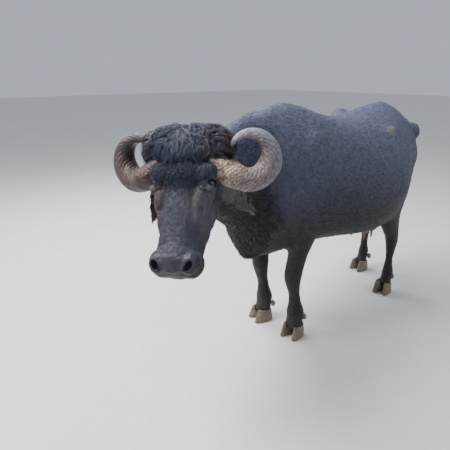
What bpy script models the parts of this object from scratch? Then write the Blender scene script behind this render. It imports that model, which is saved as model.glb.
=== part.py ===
"""Water buffalo cow, a life-size still model.

Metres, +Z up, the floor at z = 0. The animal faces -Y and its left side is +X.
Flesh is lofted in two masses (body, head), remeshed, thinned and then parted
into named nodes by thin cuts of GAP.
"""
import math
import random

import bpy
import bmesh
from mathutils import Matrix, Vector
from mathutils.bvhtree import BVHTree

# Driving sizes
GAP = 0.0003
GROW = 0.0004
BODY_VOXEL = 0.012
HEAD_VOXEL = 0.0050
BODY_TRIANGLES = 3850
HEAD_TRIANGLES = 3000
EYE_RADIUS = 0.0245
EYE_SEAT = (0.106, -0.026, 0.205)
EYE_FORWARD = math.radians(36)
SEED = 16

# Crown: lumps (left, out, down, radii) out to the tips of its hair, coat
# depth outside the core, whorl, and the locks that leave it
CROWN_LUMPS = [
    (-0.006, -0.060, 0.030, (0.176, 0.098, 0.102)),
    (0.000, -0.010, 0.072, (0.134, 0.062, 0.088)),
    (0.097, -0.066, 0.027, (0.104, 0.086, 0.092)),
    (-0.106, -0.062, 0.034, (0.104, 0.086, 0.094)),
]
CROWN_DEPTH = 0.021
CROWN_CORE_TRIANGLES = 260
CROWN_WHORL = (0.0, -0.020, -0.075)
CROWN_LOCKS = 42
CROWN_SPREAD = 1.40
LOCK_LENGTH = (0.100, 0.130)
LOCK_HALF = (0.024, 0.030)
LOCK_THICK = 0.0090
LOCK_FALL = 0.4
LOCK_START = 0.22
LOCK_LIFTS = (-0.010, 0.014, 0.020, 0.008)
LOCK_WIDTHS = (0.75, 1.0, 0.80)
LOCK_HEIGHTS = (1.0, 1.0, 0.80)

# Tail switch: core as (x, y, z, radius), and its locks
SWITCH_CORE = [
    (-0.0218, 1.3161, 0.5985, 0.015),
    (-0.0240, 1.3140, 0.5500, 0.016),
    (-0.0260, 1.3100, 0.4800, 0.015),
    (-0.0280, 1.3060, 0.4100, 0.010),
    (-0.0300, 1.3000, 0.3300, 0.004),
]
SWITCH_LOCKS = 6

# Head frame: poll position, scale, turn to the animal's left, face slope, tilt
POLL = Vector((0.152, -0.784, 1.296))
HEAD_SCALE = 1.04
HEAD_TURN = math.radians(37.0)
FACE_SLOPE = math.radians(35.5)
HEAD_TILT = math.radians(4.2)
HEADING = Vector((math.sin(HEAD_TURN), -math.cos(HEAD_TURN), 0.0))
LEVEL_LEFT = Vector((math.cos(HEAD_TURN), math.sin(HEAD_TURN), 0.0))
LEVEL_DOWN = HEADING * math.sin(FACE_SLOPE) - Vector((0, 0, math.cos(FACE_SLOPE)))
HEAD_OUT = HEADING * math.cos(FACE_SLOPE) + Vector((0, 0, math.sin(FACE_SLOPE)))
HEAD_LEFT = LEVEL_LEFT * math.cos(HEAD_TILT) - LEVEL_DOWN * math.sin(HEAD_TILT)
HEAD_DOWN = LEVEL_DOWN * math.cos(HEAD_TILT) + LEVEL_LEFT * math.sin(HEAD_TILT)

# Torso sections: y, top, bottom, half width, height of the widest point,
# and how pointed the back and the belly are
TORSO = [
    (-0.420, 0.98, 0.765, 0.050, 0.87, 1.0, 1.1),
    (-0.385, 1.08, 0.665, 0.105, 0.86, 1.0, 1.3),
    (-0.320, 1.18, 0.565, 0.175, 0.86, 1.0, 1.4),
    (-0.220, 1.322, 0.542, 0.232, 0.87, 1.10, 1.3),
    (-0.100, 1.386, 0.556, 0.262, 0.88, 1.15, 1.1),
    (0.040, 1.372, 0.568, 0.288, 0.88, 1.12, 1.0),
    (0.180, 1.328, 0.570, 0.328, 0.86, 1.05, 0.95),
    (0.330, 1.295, 0.558, 0.368, 0.84, 1.00, 0.92),
    (0.500, 1.290, 0.535, 0.390, 0.84, 1.00, 0.92),
    (0.660, 1.312, 0.530, 0.380, 0.86, 1.02, 0.95),
    (0.780, 1.338, 0.552, 0.340, 0.90, 1.15, 1.0),
    (0.880, 1.358, 0.590, 0.292, 0.95, 1.30, 1.0),
    (0.960, 1.325, 0.635, 0.258, 0.98, 1.25, 1.0),
    (1.040, 1.270, 0.700, 0.215, 1.00, 1.10, 1.0),
    (1.120, 1.228, 0.780, 0.165, 1.01, 1.00, 1.0),
    (1.185, 1.190, 0.860, 0.115, 1.02, 1.00, 1.0),
    (1.225, 1.140, 0.930, 0.060, 1.03, 1.00, 1.0),
]

# Neck sections: centre, rise to the crest, drop to the throat, half width
NECK = [
    ((0.000, -0.060, 0.985), 0.370, 0.370, 0.220),
    ((0.004, -0.200, 1.000), 0.382, 0.340, 0.190),
    ((0.018, -0.330, 1.030), 0.334, 0.300, 0.155),
    ((0.045, -0.450, 1.060), 0.262, 0.255, 0.132),
    ((0.075, -0.560, 1.085), 0.200, 0.205, 0.122),
    ((0.100, -0.660, 1.110), 0.172, 0.165, 0.118),
    ((0.118, -0.745, 1.130), 0.140, 0.120, 0.100),
]

# Head sections down the face: distance, front, back, half width
HEAD = [
    (-0.035, -0.062, -0.105, 0.056),
    (-0.012, -0.038, -0.148, 0.100),
    (0.040, -0.016, -0.185, 0.120),
    (0.110, 0.010, -0.215, 0.124),
    (0.180, 0.018, -0.230, 0.118),
    (0.240, 0.010, -0.228, 0.106),
    (0.310, 0.006, -0.205, 0.093),
    (0.380, 0.004, -0.172, 0.084),
    (0.440, 0.006, -0.150, 0.083),
    (0.485, 0.008, -0.138, 0.087),
    (0.520, 0.004, -0.124, 0.088),
    (0.548, -0.010, -0.108, 0.076),
    (0.564, -0.030, -0.086, 0.045),
]

# Legs: centre line with fore-aft and lateral half sizes
FRONT_LEG = [
    ((0.175, -0.060, 0.930), 0.150, 0.080),
    ((0.185, -0.030, 0.780), 0.125, 0.080),
    ((0.172, -0.024, 0.680), 0.088, 0.070),
    ((0.155, -0.034, 0.580), 0.064, 0.060),
    ((0.140, -0.042, 0.480), 0.056, 0.056),
    ((0.132, -0.046, 0.410), 0.056, 0.056),
    ((0.130, -0.038, 0.350), 0.046, 0.047),
    ((0.130, -0.022, 0.280), 0.037, 0.038),
    ((0.130, -0.012, 0.215), 0.044, 0.046),
    ((0.130, -0.004, 0.165), 0.056, 0.057),
    ((0.130, -0.004, 0.120), 0.050, 0.054),
    ((0.130, -0.012, 0.078), 0.052, 0.058),
    ((0.130, -0.016, 0.045), 0.044, 0.050),
]
HIND_LEG = [
    ((0.150, 0.860, 1.020), 0.185, 0.100),
    ((0.168, 0.845, 0.880), 0.180, 0.095),
    ((0.180, 0.835, 0.740), 0.155, 0.088),
    ((0.182, 0.850, 0.620), 0.105, 0.068),
    ((0.178, 0.895, 0.530), 0.076, 0.055),
    ((0.172, 0.935, 0.460), 0.062, 0.047),
    ((0.170, 0.955, 0.400), 0.060, 0.042),
    ((0.170, 0.957, 0.330), 0.045, 0.034),
    ((0.170, 0.953, 0.260), 0.033, 0.029),
    ((0.170, 0.954, 0.200), 0.037, 0.034),
    ((0.170, 0.957, 0.155), 0.046, 0.043),
    ((0.170, 0.950, 0.110), 0.040, 0.042),
    ((0.170, 0.940, 0.075), 0.045, 0.048),
    ((0.170, 0.934, 0.045), 0.040, 0.044),
]
HIND_SETBACK = 0.200

# Horns: centre of the curl across, out and down the head, and its radius
HORNS = {
    "left": (0.247, -0.077, 0.065, 0.092),
    "right": (-0.212, -0.077, 0.067, 0.090),
}

# Ears: length, droop and outward turn
EARS = {
    "left": (0.265, 0.34, 0.70),
    "right": (0.268, 0.80, 0.77),
}

# Feet: centre of the sole, turn outward, claw length
FEET = {
    "front_left": ((0.132, -0.012), math.radians(10), 0.112),
    "front_right": ((-0.130, -0.030), math.radians(-14), 0.112),
    "hind_left": ((0.170, 0.920), math.radians(8), 0.106),
    "hind_right": ((-0.170, 1.125), math.radians(-8), 0.106),
}
RIGHT_FRONT_SETBACK = -0.010

COAT = (0.030, 0.028, 0.030)
COAT_WARM = (0.052, 0.036, 0.030)
HORN_TONE = (0.230, 0.195, 0.155)
HOOF_TONE = (0.150, 0.125, 0.100)
MATERIALS = {}


def material(name, colour, roughness):
    """One Principled material per slot, made once."""
    if name not in MATERIALS:
        made = bpy.data.materials.new(name)
        made.use_nodes = True
        shader = made.node_tree.nodes["Principled BSDF"]
        shader.inputs["Base Color"].default_value = (*colour, 1.0)
        shader.inputs["Roughness"].default_value = roughness
        shader.inputs["Metallic"].default_value = 0.0
        made.diffuse_color = (*colour, 1.0)
        MATERIALS[name] = made
    return MATERIALS[name]


def clear_scene():
    """Remove whatever the start-up file brought."""
    for obj in list(bpy.data.objects):
        bpy.data.objects.remove(obj, do_unlink=True)


def head_point(left, out, down):
    """A point of the head frame in world space."""
    return POLL + head_vector(left, out, down) * HEAD_SCALE


def head_vector(left, out, down):
    """A direction of the head frame in world space."""
    return HEAD_LEFT * left + HEAD_OUT * out + HEAD_DOWN * down


def power(value, exponent):
    """Signed power, for superellipse rings."""
    return math.copysign(abs(value) ** exponent, value)


def oval(centre, side, up, half_side, half_up, count=28, exponent=0.9):
    """A closed superellipse ring."""
    ring = []
    for step in range(count):
        angle = 2 * math.pi * step / count
        across = power(math.cos(angle), exponent) * half_side
        along = power(math.sin(angle), exponent) * half_up
        ring.append(centre + side * across + up * along)
    return ring


def egg(centre, side, up, half, high, low, crest=0.9, keel=0.9, count=36):
    """A ring whose upper and lower halves differ in height and in point."""
    ring = []
    for step in range(count):
        angle = 2 * math.pi * step / count
        rise = math.sin(angle)
        reach = high if rise > 0 else low
        point = crest if rise > 0 else keel
        across = power(math.cos(angle), point) * half
        ring.append(centre + side * across + up * power(rise, 0.9) * reach)
    return ring


def skin_rings(bm, rings):
    """Bridge closed rings into a capped tube."""
    loops = [[bm.verts.new(point) for point in ring] for ring in rings]
    count = len(loops[0])
    for low, high in zip(loops, loops[1:]):
        for step in range(count):
            after = (step + 1) % count
            bm.faces.new((low[step], low[after], high[after], high[step]))
    bm.faces.new(list(reversed(loops[0])))
    bm.faces.new(loops[-1])


def path_rings(stations, side, count=24, exponent=0.95):
    """Rings square to a centre line: (centre, half fore-aft, half lateral)."""
    centres = [Vector(station[0]) for station in stations]
    rings = []
    for index, station in enumerate(stations):
        ahead = centres[min(index + 1, len(centres) - 1)]
        behind = centres[max(index - 1, 0)]
        tangent = (ahead - behind).normalized()
        lateral = (side - tangent * side.dot(tangent)).normalized()
        fore = tangent.cross(lateral).normalized()
        rings.append(oval(centres[index], fore, lateral, station[1], station[2], count, exponent))
    return rings


def smooth_stations(stations, steps=3):
    """Catmull-Rom resampling of flat tuples of numbers."""
    rows = []
    last = len(stations) - 1
    for index in range(last):
        a = stations[max(index - 1, 0)]
        b = stations[index]
        c = stations[index + 1]
        d = stations[min(index + 2, last)]
        for step in range(steps):
            t = step / steps
            row = []
            for p, q, r, s in zip(a, b, c, d):
                curve = 2 * q + (r - p) * t + (2 * p - 5 * q + 4 * r - s) * t * t
                curve += (3 * q - p - 3 * r + s) * t * t * t
                row.append(curve / 2)
            rows.append(tuple(row))
    rows.append(tuple(stations[last]))
    return rows


def smooth_path(stations, steps=3):
    """Catmull-Rom resampling of (centre, size, size) stations."""
    flat = [(*station[0], *station[1:]) for station in stations]
    rows = smooth_stations(flat, steps)
    return [(Vector(row[:3]), *row[3:]) for row in rows]


def ball(bm, centre, radii, turn=None, segments=20):
    """An ellipsoid lump, its own closed shell."""
    matrix = Matrix.Translation(centre)
    if turn is not None:
        matrix = matrix @ turn.to_4x4()
    matrix = matrix @ Matrix.Diagonal((*radii, 1.0))
    bmesh.ops.create_uvsphere(bm, u_segments=segments, v_segments=segments // 2, radius=1.0, matrix=matrix)


def head_turn_matrix():
    """Columns are the head's left, out and up."""
    return Matrix((HEAD_LEFT, HEAD_OUT, -HEAD_DOWN)).transposed()


def head_ball(bm, left, out, down, radii, tilt=0.0, segments=20):
    """An ellipsoid lump placed and sized in the head frame."""
    turn = head_turn_matrix() @ Matrix.Rotation(tilt, 3, "Y")
    ball(bm, head_point(left, out, down), [r * HEAD_SCALE for r in radii], turn, segments)


def make_object(name, bm):
    """A linked object from a bmesh, normals outward."""
    bmesh.ops.recalc_face_normals(bm, faces=bm.faces)
    mesh = bpy.data.meshes.new(name)
    bm.to_mesh(mesh)
    bm.free()
    obj = bpy.data.objects.new(name, mesh)
    bpy.context.scene.collection.objects.link(obj)
    return obj


def bake_modifiers(obj):
    """Replace the mesh by its evaluated form."""
    graph = bpy.context.evaluated_depsgraph_get()
    graph.update()
    made = bpy.data.meshes.new_from_object(obj.evaluated_get(graph))
    old = obj.data
    obj.modifiers.clear()
    obj.data = made
    bpy.data.meshes.remove(old)
    return obj


def triangle_count(mesh):
    """Triangles after fan splitting."""
    return sum(len(polygon.vertices) - 2 for polygon in mesh.polygons)


def remesh(obj, voxel, smoothing, triangles):
    """Fuse shells with voxels, smooth them and thin the result."""
    fuse = obj.modifiers.new("fuse", "REMESH")
    fuse.mode = "VOXEL"
    fuse.voxel_size = voxel
    bake_modifiers(obj)
    relax = obj.modifiers.new("relax", "SMOOTH")
    relax.factor = 0.5
    relax.iterations = smoothing
    bake_modifiers(obj)
    thin = obj.modifiers.new("thin", "DECIMATE")
    thin.ratio = min(1.0, triangles / triangle_count(obj.data))
    thin.use_collapse_triangulate = True
    bake_modifiers(obj)
    keep_largest(obj)
    return obj


def keep_largest(obj):
    """Drop every loose shell but the largest."""
    bm = bmesh.new()
    bm.from_mesh(obj.data)
    bm.faces.ensure_lookup_table()
    seen = set()
    best = []
    for face in bm.faces:
        if face.index in seen:
            continue
        shell = []
        stack = [face]
        seen.add(face.index)
        while stack:
            current = stack.pop()
            shell.append(current)
            for edge in current.edges:
                for other in edge.link_faces:
                    if other.index not in seen:
                        seen.add(other.index)
                        stack.append(other)
        if len(shell) > len(best):
            best = shell
    keep = set(best)
    drop = [face for face in bm.faces if face not in keep]
    if drop:
        bmesh.ops.delete(bm, geom=drop, context="FACES")
        loose = [vert for vert in bm.verts if not vert.link_faces]
        bmesh.ops.delete(bm, geom=loose, context="VERTS")
    bm.to_mesh(obj.data)
    bm.free()


def copy_object(obj, name):
    """A copy with its own mesh."""
    twin = bpy.data.objects.new(name, obj.data.copy())
    bpy.context.scene.collection.objects.link(twin)
    return twin


def grown_copy(obj, name, amount):
    """A copy swollen along its normals, for clearing a neighbour."""
    twin = copy_object(obj, name)
    bm = bmesh.new()
    bm.from_mesh(twin.data)
    bm.normal_update()
    moved = [vert.co + vert.normal * amount for vert in bm.verts]
    for vert, place in zip(bm.verts, moved):
        vert.co = place
    bm.to_mesh(twin.data)
    bm.free()
    return twin


def combine(obj, other, operation, solver="MANIFOLD"):
    """One applied Boolean."""
    step = obj.modifiers.new("step", "BOOLEAN")
    step.operation = operation
    step.solver = solver
    step.object = other
    bake_modifiers(obj)
    return obj


def unite(base, pieces):
    """One union of a base with a collection of closed pieces."""
    group = bpy.data.collections.new("pieces")
    bpy.context.scene.collection.children.link(group)
    for piece in pieces:
        group.objects.link(piece)
    step = base.modifiers.new("unite", "BOOLEAN")
    step.operation = "UNION"
    step.solver = "MANIFOLD"
    step.operand_type = "COLLECTION"
    step.collection = group
    bake_modifiers(base)
    for piece in pieces:
        bpy.data.objects.remove(piece, do_unlink=True)
    bpy.data.collections.remove(group)
    return base


def discard(*objects):
    """Remove helper objects."""
    for obj in objects:
        bpy.data.objects.remove(obj, do_unlink=True)


def region_box(name, centre, side, up, sizes, shrink):
    """A turned box, its faces moved in by shrink."""
    across = side.normalized()
    normal = (up - across * up.dot(across)).normalized()
    depth = across.cross(normal)
    turn = Matrix((across, depth, normal)).transposed().to_4x4()
    half = [size / 2 - shrink for size in sizes]
    bm = bmesh.new()
    matrix = Matrix.Translation(centre) @ turn @ Matrix.Diagonal((*half, 1.0))
    bmesh.ops.create_cube(bm, size=2.0, matrix=matrix)
    return make_object(name, bm)


def wedge(name, sign, x, y, top, shrink):
    """A box with a top that climbs outward, its faces moved in by shrink."""
    low = (x[0] + shrink, y[0] + shrink, -0.2)
    high = (x[1] - shrink, y[1] - shrink)
    slope = (top[1] - top[0]) / (x[1] - x[0])
    drop = shrink * math.hypot(1.0, slope)
    bm = bmesh.new()
    corners = []
    for px in (low[0], high[0]):
        crest = top[0] + slope * (px - x[0]) - drop
        for py in (low[1], high[1]):
            for pz in (low[2], crest):
                corners.append(bm.verts.new((sign * px, py, pz)))
    bmesh.ops.convex_hull(bm, input=corners)
    return make_object(name, bm)


def part_off(body, name, inner, outer):
    """Take a region out of the body as its own node, a gap apart."""
    piece = copy_object(body, name)
    combine(piece, inner, "INTERSECT")
    combine(body, outer, "DIFFERENCE")
    keep_largest(piece)
    keep_largest(body)
    discard(inner, outer)
    return piece


def part_leg(body, name, sign, x, y, top):
    """One leg, parted on a plane that climbs outward."""
    inner = wedge("inner", sign, x, y, top, GAP / 2)
    outer = wedge("outer", sign, x, y, top, -GAP / 2)
    return part_off(body, name, inner, outer)


def leg_path(stations, side, shift):
    """Mirror a leg's stations and slide its lower part fore or aft."""
    top = stations[0][0][2]
    moved = []
    for centre, fore, lateral in stations:
        share = min(1.0, max(0.0, (top - 0.18 - centre[2]) / (top - 0.60)))
        moved.append(((centre[0] * side, centre[1] + shift * share, centre[2]), fore, lateral))
    return moved


def build_body():
    """Torso, neck and limbs as one mass."""
    bm = bmesh.new()
    side = Vector((1, 0, 0))
    up = Vector((0, 0, 1))
    rings = []
    for y, top, bottom, half, wide, crest, keel in smooth_stations(TORSO):
        rings.append(egg(Vector((0, y, wide)), side, up, half, top - wide, wide - bottom, crest, keel))
    skin_rings(bm, rings)
    add_neck(bm)
    lumps = [
        ((0.088, 1.155, 1.140), (0.066, 0.078, 0.074)),
        ((0.175, -0.220, 0.850), (0.085, 0.095, 0.140)),
        ((0.195, -0.010, 1.060), (0.070, 0.110, 0.200)),
        ((0.200, 0.050, 0.745), (0.060, 0.085, 0.095)),
        ((0.210, 0.740, 0.690), (0.070, 0.090, 0.110)),
        ((0.180, 0.930, 1.000), (0.080, 0.130, 0.160)),
    ]
    for centre, radii in lumps:
        ball(bm, Vector(centre), radii)
        ball(bm, Vector((-centre[0], centre[1], centre[2])), radii)
    ball(bm, Vector((0.225, 0.650, 1.185)), (0.062, 0.085, 0.055))
    ball(bm, Vector((-0.220, 0.755, 1.245)), (0.062, 0.080, 0.062))
    ball(bm, Vector((0.010, -0.262, 0.606)), (0.052, 0.100, 0.066))
    for sign, shift in ((1, 0.0), (-1, RIGHT_FRONT_SETBACK)):
        skin_rings(bm, path_rings(smooth_path(leg_path(FRONT_LEG, sign, shift)), side))
    for sign, shift in ((1, 0.0), (-1, HIND_SETBACK)):
        skin_rings(bm, path_rings(smooth_path(leg_path(HIND_LEG, sign, shift)), side))
    body = make_object("body", bm)
    return remesh(body, BODY_VOXEL, 8, BODY_TRIANGLES)


def add_neck(bm):
    """The neck's tube, shared by the body and the head masses."""
    flat = smooth_path(NECK)
    centres = [row[0] for row in flat]
    rings = []
    for index, (centre, high, low, half) in enumerate(flat):
        ahead = centres[min(index + 1, len(centres) - 1)]
        behind = centres[max(index - 1, 0)]
        tangent = (ahead - behind).normalized()
        side = tangent.cross(Vector((0, 0, 1))).normalized()
        up = side.cross(tangent).normalized()
        rings.append(egg(centre, side, up, half, high, low, 1.1, 1.05))
    skin_rings(bm, rings)


def build_head():
    """Skull, jaw and muzzle as one mass with a stub of neck."""
    bm = bmesh.new()
    rings = []
    for down, front, back, half in smooth_stations(HEAD):
        middle = (front + back) / 2
        centre = head_point(0, middle, down)
        across = half * HEAD_SCALE
        depth = (front - back) / 2 * HEAD_SCALE
        rings.append(oval(centre, HEAD_LEFT, HEAD_OUT, across, depth, 36, 0.82))
    skin_rings(bm, rings)
    add_neck(bm)
    head_ball(bm, 0, -0.064, 0.050, (0.128, 0.056, 0.092))
    head_ball(bm, 0, -0.012, 0.500, (0.072, 0.034, 0.060))
    head_ball(bm, 0, -0.094, 0.515, (0.066, 0.042, 0.050))
    for sign in (1, -1):
        head_ball(bm, EYE_SEAT[0] * sign, EYE_SEAT[1] - 0.003, EYE_SEAT[2], (0.035, 0.036, 0.040))
        head_ball(bm, 0.092 * sign, -0.040, 0.205, (0.038, 0.048, 0.056))
        head_ball(bm, 0.086 * sign, -0.020, 0.166, (0.050, 0.034, 0.044), sign * -0.5)
        head_ball(bm, 0.092 * sign, -0.070, 0.180, (0.036, 0.056, 0.090))
        head_ball(bm, 0.078 * sign, -0.040, 0.262, (0.034, 0.046, 0.070))
        head_ball(bm, 0.066 * sign, -0.056, 0.310, (0.032, 0.048, 0.105))
        head_ball(bm, 0.070 * sign, -0.150, 0.265, (0.044, 0.082, 0.105))
        head_ball(bm, 0.062 * sign, -0.145, 0.335, (0.036, 0.058, 0.095))
        head_ball(bm, 0.052 * sign, -0.118, 0.400, (0.038, 0.050, 0.110))
        head_ball(bm, 0.112 * sign, -0.075, 0.100, (0.050, 0.056, 0.060))
        head_ball(bm, 0.060 * sign, -0.014, 0.514, (0.036, 0.032, 0.048))
        head_ball(bm, 0.058 * sign, -0.060, 0.508, (0.047, 0.050, 0.058))
    head = make_object("head", bm)
    return remesh(head, HEAD_VOXEL, 6, HEAD_TRIANGLES)


def muzzle_groove():
    """A thin strip round the muzzle that cuts the line of the mouth."""
    half = [(0.082, -0.098, 0.440), (0.098, -0.092, 0.480), (0.100, -0.086, 0.520), (0.064, -0.081, 0.556)]
    points = [head_point(left, out, down) for left, out, down in half]
    points.append(head_point(0, -0.079, 0.570))
    points += [head_point(-left, out, down) for left, out, down in reversed(half)]
    stations = [(point, 0.0016, 0.013) for point in points]
    bm = bmesh.new()
    rings = []
    flat = smooth_path(stations, 4)
    for index, row in enumerate(flat):
        ahead = flat[min(index + 1, len(flat) - 1)][0]
        behind = flat[max(index - 1, 0)][0]
        tangent = (ahead - behind).normalized()
        thin = (HEAD_OUT - tangent * HEAD_OUT.dot(tangent)).normalized()
        wide = tangent.cross(thin).normalized()
        rings.append(oval(row[0], thin, wide, row[1], row[2], 8, 1.0))
    skin_rings(bm, rings)
    return make_object("groove", bm)


def carve_head(head):
    """Eye openings, nostrils and the mouth."""
    bm = bmesh.new()
    for sign in (1, -1):
        head_ball(bm, 0.063 * sign, 0.010, 0.531, (0.0115, 0.028, 0.021), sign * 0.55, 12)
        turn = head_turn_matrix() @ Matrix.Rotation(sign * EYE_FORWARD, 3, "Z")
        look = turn @ Vector((sign, 0.0, -0.06))
        place = head_point(EYE_SEAT[0] * sign, EYE_SEAT[1], EYE_SEAT[2]) + look * 0.0240
        ball(bm, place, (0.020, 0.0270, 0.0150), turn, 14)
    holes = make_object("holes", bm)
    combine(head, holes, "DIFFERENCE")
    groove = muzzle_groove()
    combine(head, groove, "DIFFERENCE")
    discard(holes, groove)


def claw_rings(length, width, height):
    """A claw's rings in its own frame: toe toward -Y, sole at z = 0."""
    rows = [
        (0.000, 0.93, 0.000),
        (0.006, 1.10, 0.000),
        (0.300, 1.04, 0.012),
        (0.650, 0.93, 0.030),
        (1.000, 0.80, 0.048),
    ]
    rings = []
    for share, scale, back in rows:
        z = share * height if share > 0.006 else share
        ring = []
        for step in range(12):
            angle = 2 * math.pi * step / 12
            toe = math.cos(angle)
            point = 0.62 if toe > 0 else 0.50
            along = -toe * length * point * scale + back * length * 4 * 0.25
            taper = 1.0 - 0.28 * max(0.0, toe)
            across = power(math.sin(angle), 0.85) * width / 2 * scale * taper
            ring.append(Vector((across, along, z)))
        rings.append(ring)
    return rings


def build_claw(name, foot, inner):
    """One claw of a cloven foot; inner is -1 or 1 across the foot."""
    (x, y), turn, length = FEET[foot]
    width = length * 0.50
    bm = bmesh.new()
    splay = turn + inner * math.radians(7)
    matrix = Matrix.Translation((x, y, 0)) @ Matrix.Rotation(turn, 4, "Z")
    matrix = matrix @ Matrix.Translation((inner * width * 0.60, 0, 0))
    matrix = matrix @ Matrix.Rotation(splay - turn, 4, "Z")
    rings = claw_rings(length, width, 0.082)
    skin_rings(bm, [[matrix @ point for point in ring] for ring in rings])
    return make_object(name, bm)


def build_dewclaw(name, foot, inner):
    """A small horny knob behind the fetlock."""
    (x, y), turn, length = FEET[foot]
    matrix = Matrix.Translation((x, y, 0)) @ Matrix.Rotation(turn, 4, "Z")
    bm = bmesh.new()
    back = 0.062 if foot.startswith("front") else 0.066
    centre = matrix @ Vector((inner * 0.030, back, 0.112))
    tilt = Matrix.Rotation(math.radians(28), 3, "X")
    ball(bm, centre, (0.017, 0.019, 0.026), tilt, 8)
    return make_object(name, bm)


def horn_rings(label, sign):
    """The curl: out and back from the poll, round and over to the tip."""
    count = 23
    rings = []
    across, out, down, size = HORNS[label]
    sweep = math.radians(20)
    level = (head_vector(sign * math.cos(sweep), 0, 0) - HEADING * math.sin(sweep)).normalized()
    up = (Vector((0, 0, 1)) - level * level.z).normalized()
    axis = level.cross(up) * sign
    centre = head_point(across, out, down)
    points = []
    for step in range(count):
        share = step / (count - 1)
        angle = math.radians(-150 + 315 * share)
        radius = size * (1.02 - 0.14 * share * share)
        along = level * math.cos(angle) * radius
        rise = up * math.sin(angle) * radius * 1.03
        shift = axis * (0.032 - 0.056 * share)
        points.append(centre + along + rise + shift)
    root = head_point(sign * 0.060, -0.065, 0.092)
    points = [root, root.lerp(points[1], 0.55)] + points[2:]
    for index, point in enumerate(points):
        share = index / (len(points) - 1)
        ahead = points[min(index + 1, len(points) - 1)]
        behind = points[max(index - 1, 0)]
        tangent = (ahead - behind).normalized()
        lateral = (axis - tangent * axis.dot(tangent)).normalized()
        radial = tangent.cross(lateral).normalized()
        thick = min(0.050, 0.084 * (1 - share) ** 1.27 + 0.0065)
        broad = 0.064 * (1 - share) ** 0.60 + 0.0065
        rings.append(oval(point, lateral, radial, broad, thick, 10, 0.95))
    return rings


def build_horn(name, label, sign):
    """One horn as a swept flattened oval."""
    bm = bmesh.new()
    skin_rings(bm, horn_rings(label, sign))
    bmesh.ops.triangulate(bm, faces=bm.faces[:])
    return make_object(name, bm)


def build_ear(name, label, sign):
    """A drooping, cupped leaf on a short tube."""
    length, droop, turn = EARS[label]
    root = head_point(sign * 0.092, -0.120, 0.140)
    along = (head_vector(sign * turn, -0.60, 0.0) + Vector((0, 0, -droop))).normalized()
    front = head_vector(sign * 0.10, 0.80, 0.60)
    front = (front - along * front.dot(along)).normalized()
    across = along.cross(front).normalized()
    rings = []
    rows = 12
    half = 7
    for row in range(rows):
        share = row / (rows - 1)
        swell = math.sin(math.pi * (0.10 + share * 0.865)) ** 1.1
        width = 0.014 * (1 - share) + 0.064 * swell * (1.0 - 0.25 * share)
        cup = 0.034 * math.sin(math.pi * (0.12 + share * 0.84))
        thick = 0.014 * (1 - share) + 0.0045
        centre = root + along * length * share + Vector((0, 0, -0.045)) * share * share
        ring = []
        for step in range(half):
            a = -1 + 2 * step / (half - 1)
            ring.append(centre + across * a * width + front * cup * (a * a - 0.4))
        for step in range(half - 2):
            a = 1 - 2 * (step + 1) / (half - 1)
            back = cup * (a * a - 0.4) - thick * (1 - a * a * 0.70)
            ring.append(centre + across * a * width + front * back)
        rings.append(ring)
    bm = bmesh.new()
    skin_rings(bm, rings)
    bmesh.ops.triangulate(bm, faces=bm.faces[:])
    return make_object(name, bm)


def build_tail():
    """The dock and tail as a tapered rope hanging behind the rump."""
    points = [
        (0.000, 1.180, 1.190, 0.044),
        (0.000, 1.250, 1.165, 0.040),
        (0.000, 1.300, 1.090, 0.032),
        (-0.004, 1.318, 0.980, 0.026),
        (-0.010, 1.322, 0.850, 0.021),
        (-0.016, 1.320, 0.720, 0.018),
        (-0.022, 1.316, 0.600, 0.016),
    ]
    stations = [((x, y, z), r, r) for x, y, z, r in points]
    bm = bmesh.new()
    skin_rings(bm, path_rings(smooth_path(stations, 2), Vector((1, 0, 0)), 10, 1.0))
    return make_object("tail", bm)


def build_lock(spine, lay, half, thick):
    """One flat, tapered lock: low ridged sections along a spine, ending in a point."""
    bm = bmesh.new()
    loops = []
    last = len(spine) - 1
    for index in range(last):
        tangent = (spine[index + 1] - spine[max(index - 1, 0)]).normalized()
        across = tangent.cross(lay[index]).normalized()
        up = across.cross(tangent).normalized()
        width = half * LOCK_WIDTHS[index]
        height = thick * LOCK_HEIGHTS[index]
        corners = (across * width - up * height * 0.5, up * height, across * -width - up * height * 0.5)
        loops.append([bm.verts.new(spine[index] + corner) for corner in corners])
    for low, high in zip(loops, loops[1:]):
        for step in range(3):
            after = (step + 1) % 3
            bm.faces.new((low[step], low[after], high[after], high[step]))
    tip = bm.verts.new(spine[last])
    for step in range(3):
        bm.faces.new((loops[-1][step], loops[-1][(step + 1) % 3], tip))
    bm.faces.new(list(reversed(loops[0])))
    bmesh.ops.triangulate(bm, faces=bm.faces[:])
    return make_object("lock", bm)


def build_switch():
    """The long hair at the tail's end: a slim core and locks that hang from it."""
    stations = [((x, y, z), r, r) for x, y, z, r in SWITCH_CORE]
    bm = bmesh.new()
    skin_rings(bm, path_rings(smooth_path(stations, 1), Vector((1, 0, 0)), 8, 1.0))
    switch = make_object("tail_switch", bm)
    chance = random.Random(SEED + 1)
    top = Vector(SWITCH_CORE[0][:3])
    foot = Vector(SWITCH_CORE[-1][:3])
    locks = []
    for index in range(SWITCH_LOCKS):
        share = index / (SWITCH_LOCKS - 1)
        angle = index * 2.399 + chance.uniform(-0.3, 0.3)
        outward = Vector((math.cos(angle), math.sin(angle), 0.0))
        start = 0.10 + 0.42 * share
        length = chance.uniform(0.42, 0.50) * (1.0 - 0.20 * share)
        spine = []
        for step, spread in enumerate((0.002, 0.021, 0.024, 0.008)):
            along = min(1.0, start + length * step / 3)
            drift = Vector((math.sin(angle * 3 + step) * 0.004, 0, 0))
            spine.append(top.lerp(foot, along) + outward * spread * (1.1 - 0.35 * share) + drift)
        locks.append(build_lock(spine, [outward] * 4, 0.017, 0.007))
    unite(switch, locks)
    keep_largest(switch)
    return switch


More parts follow.
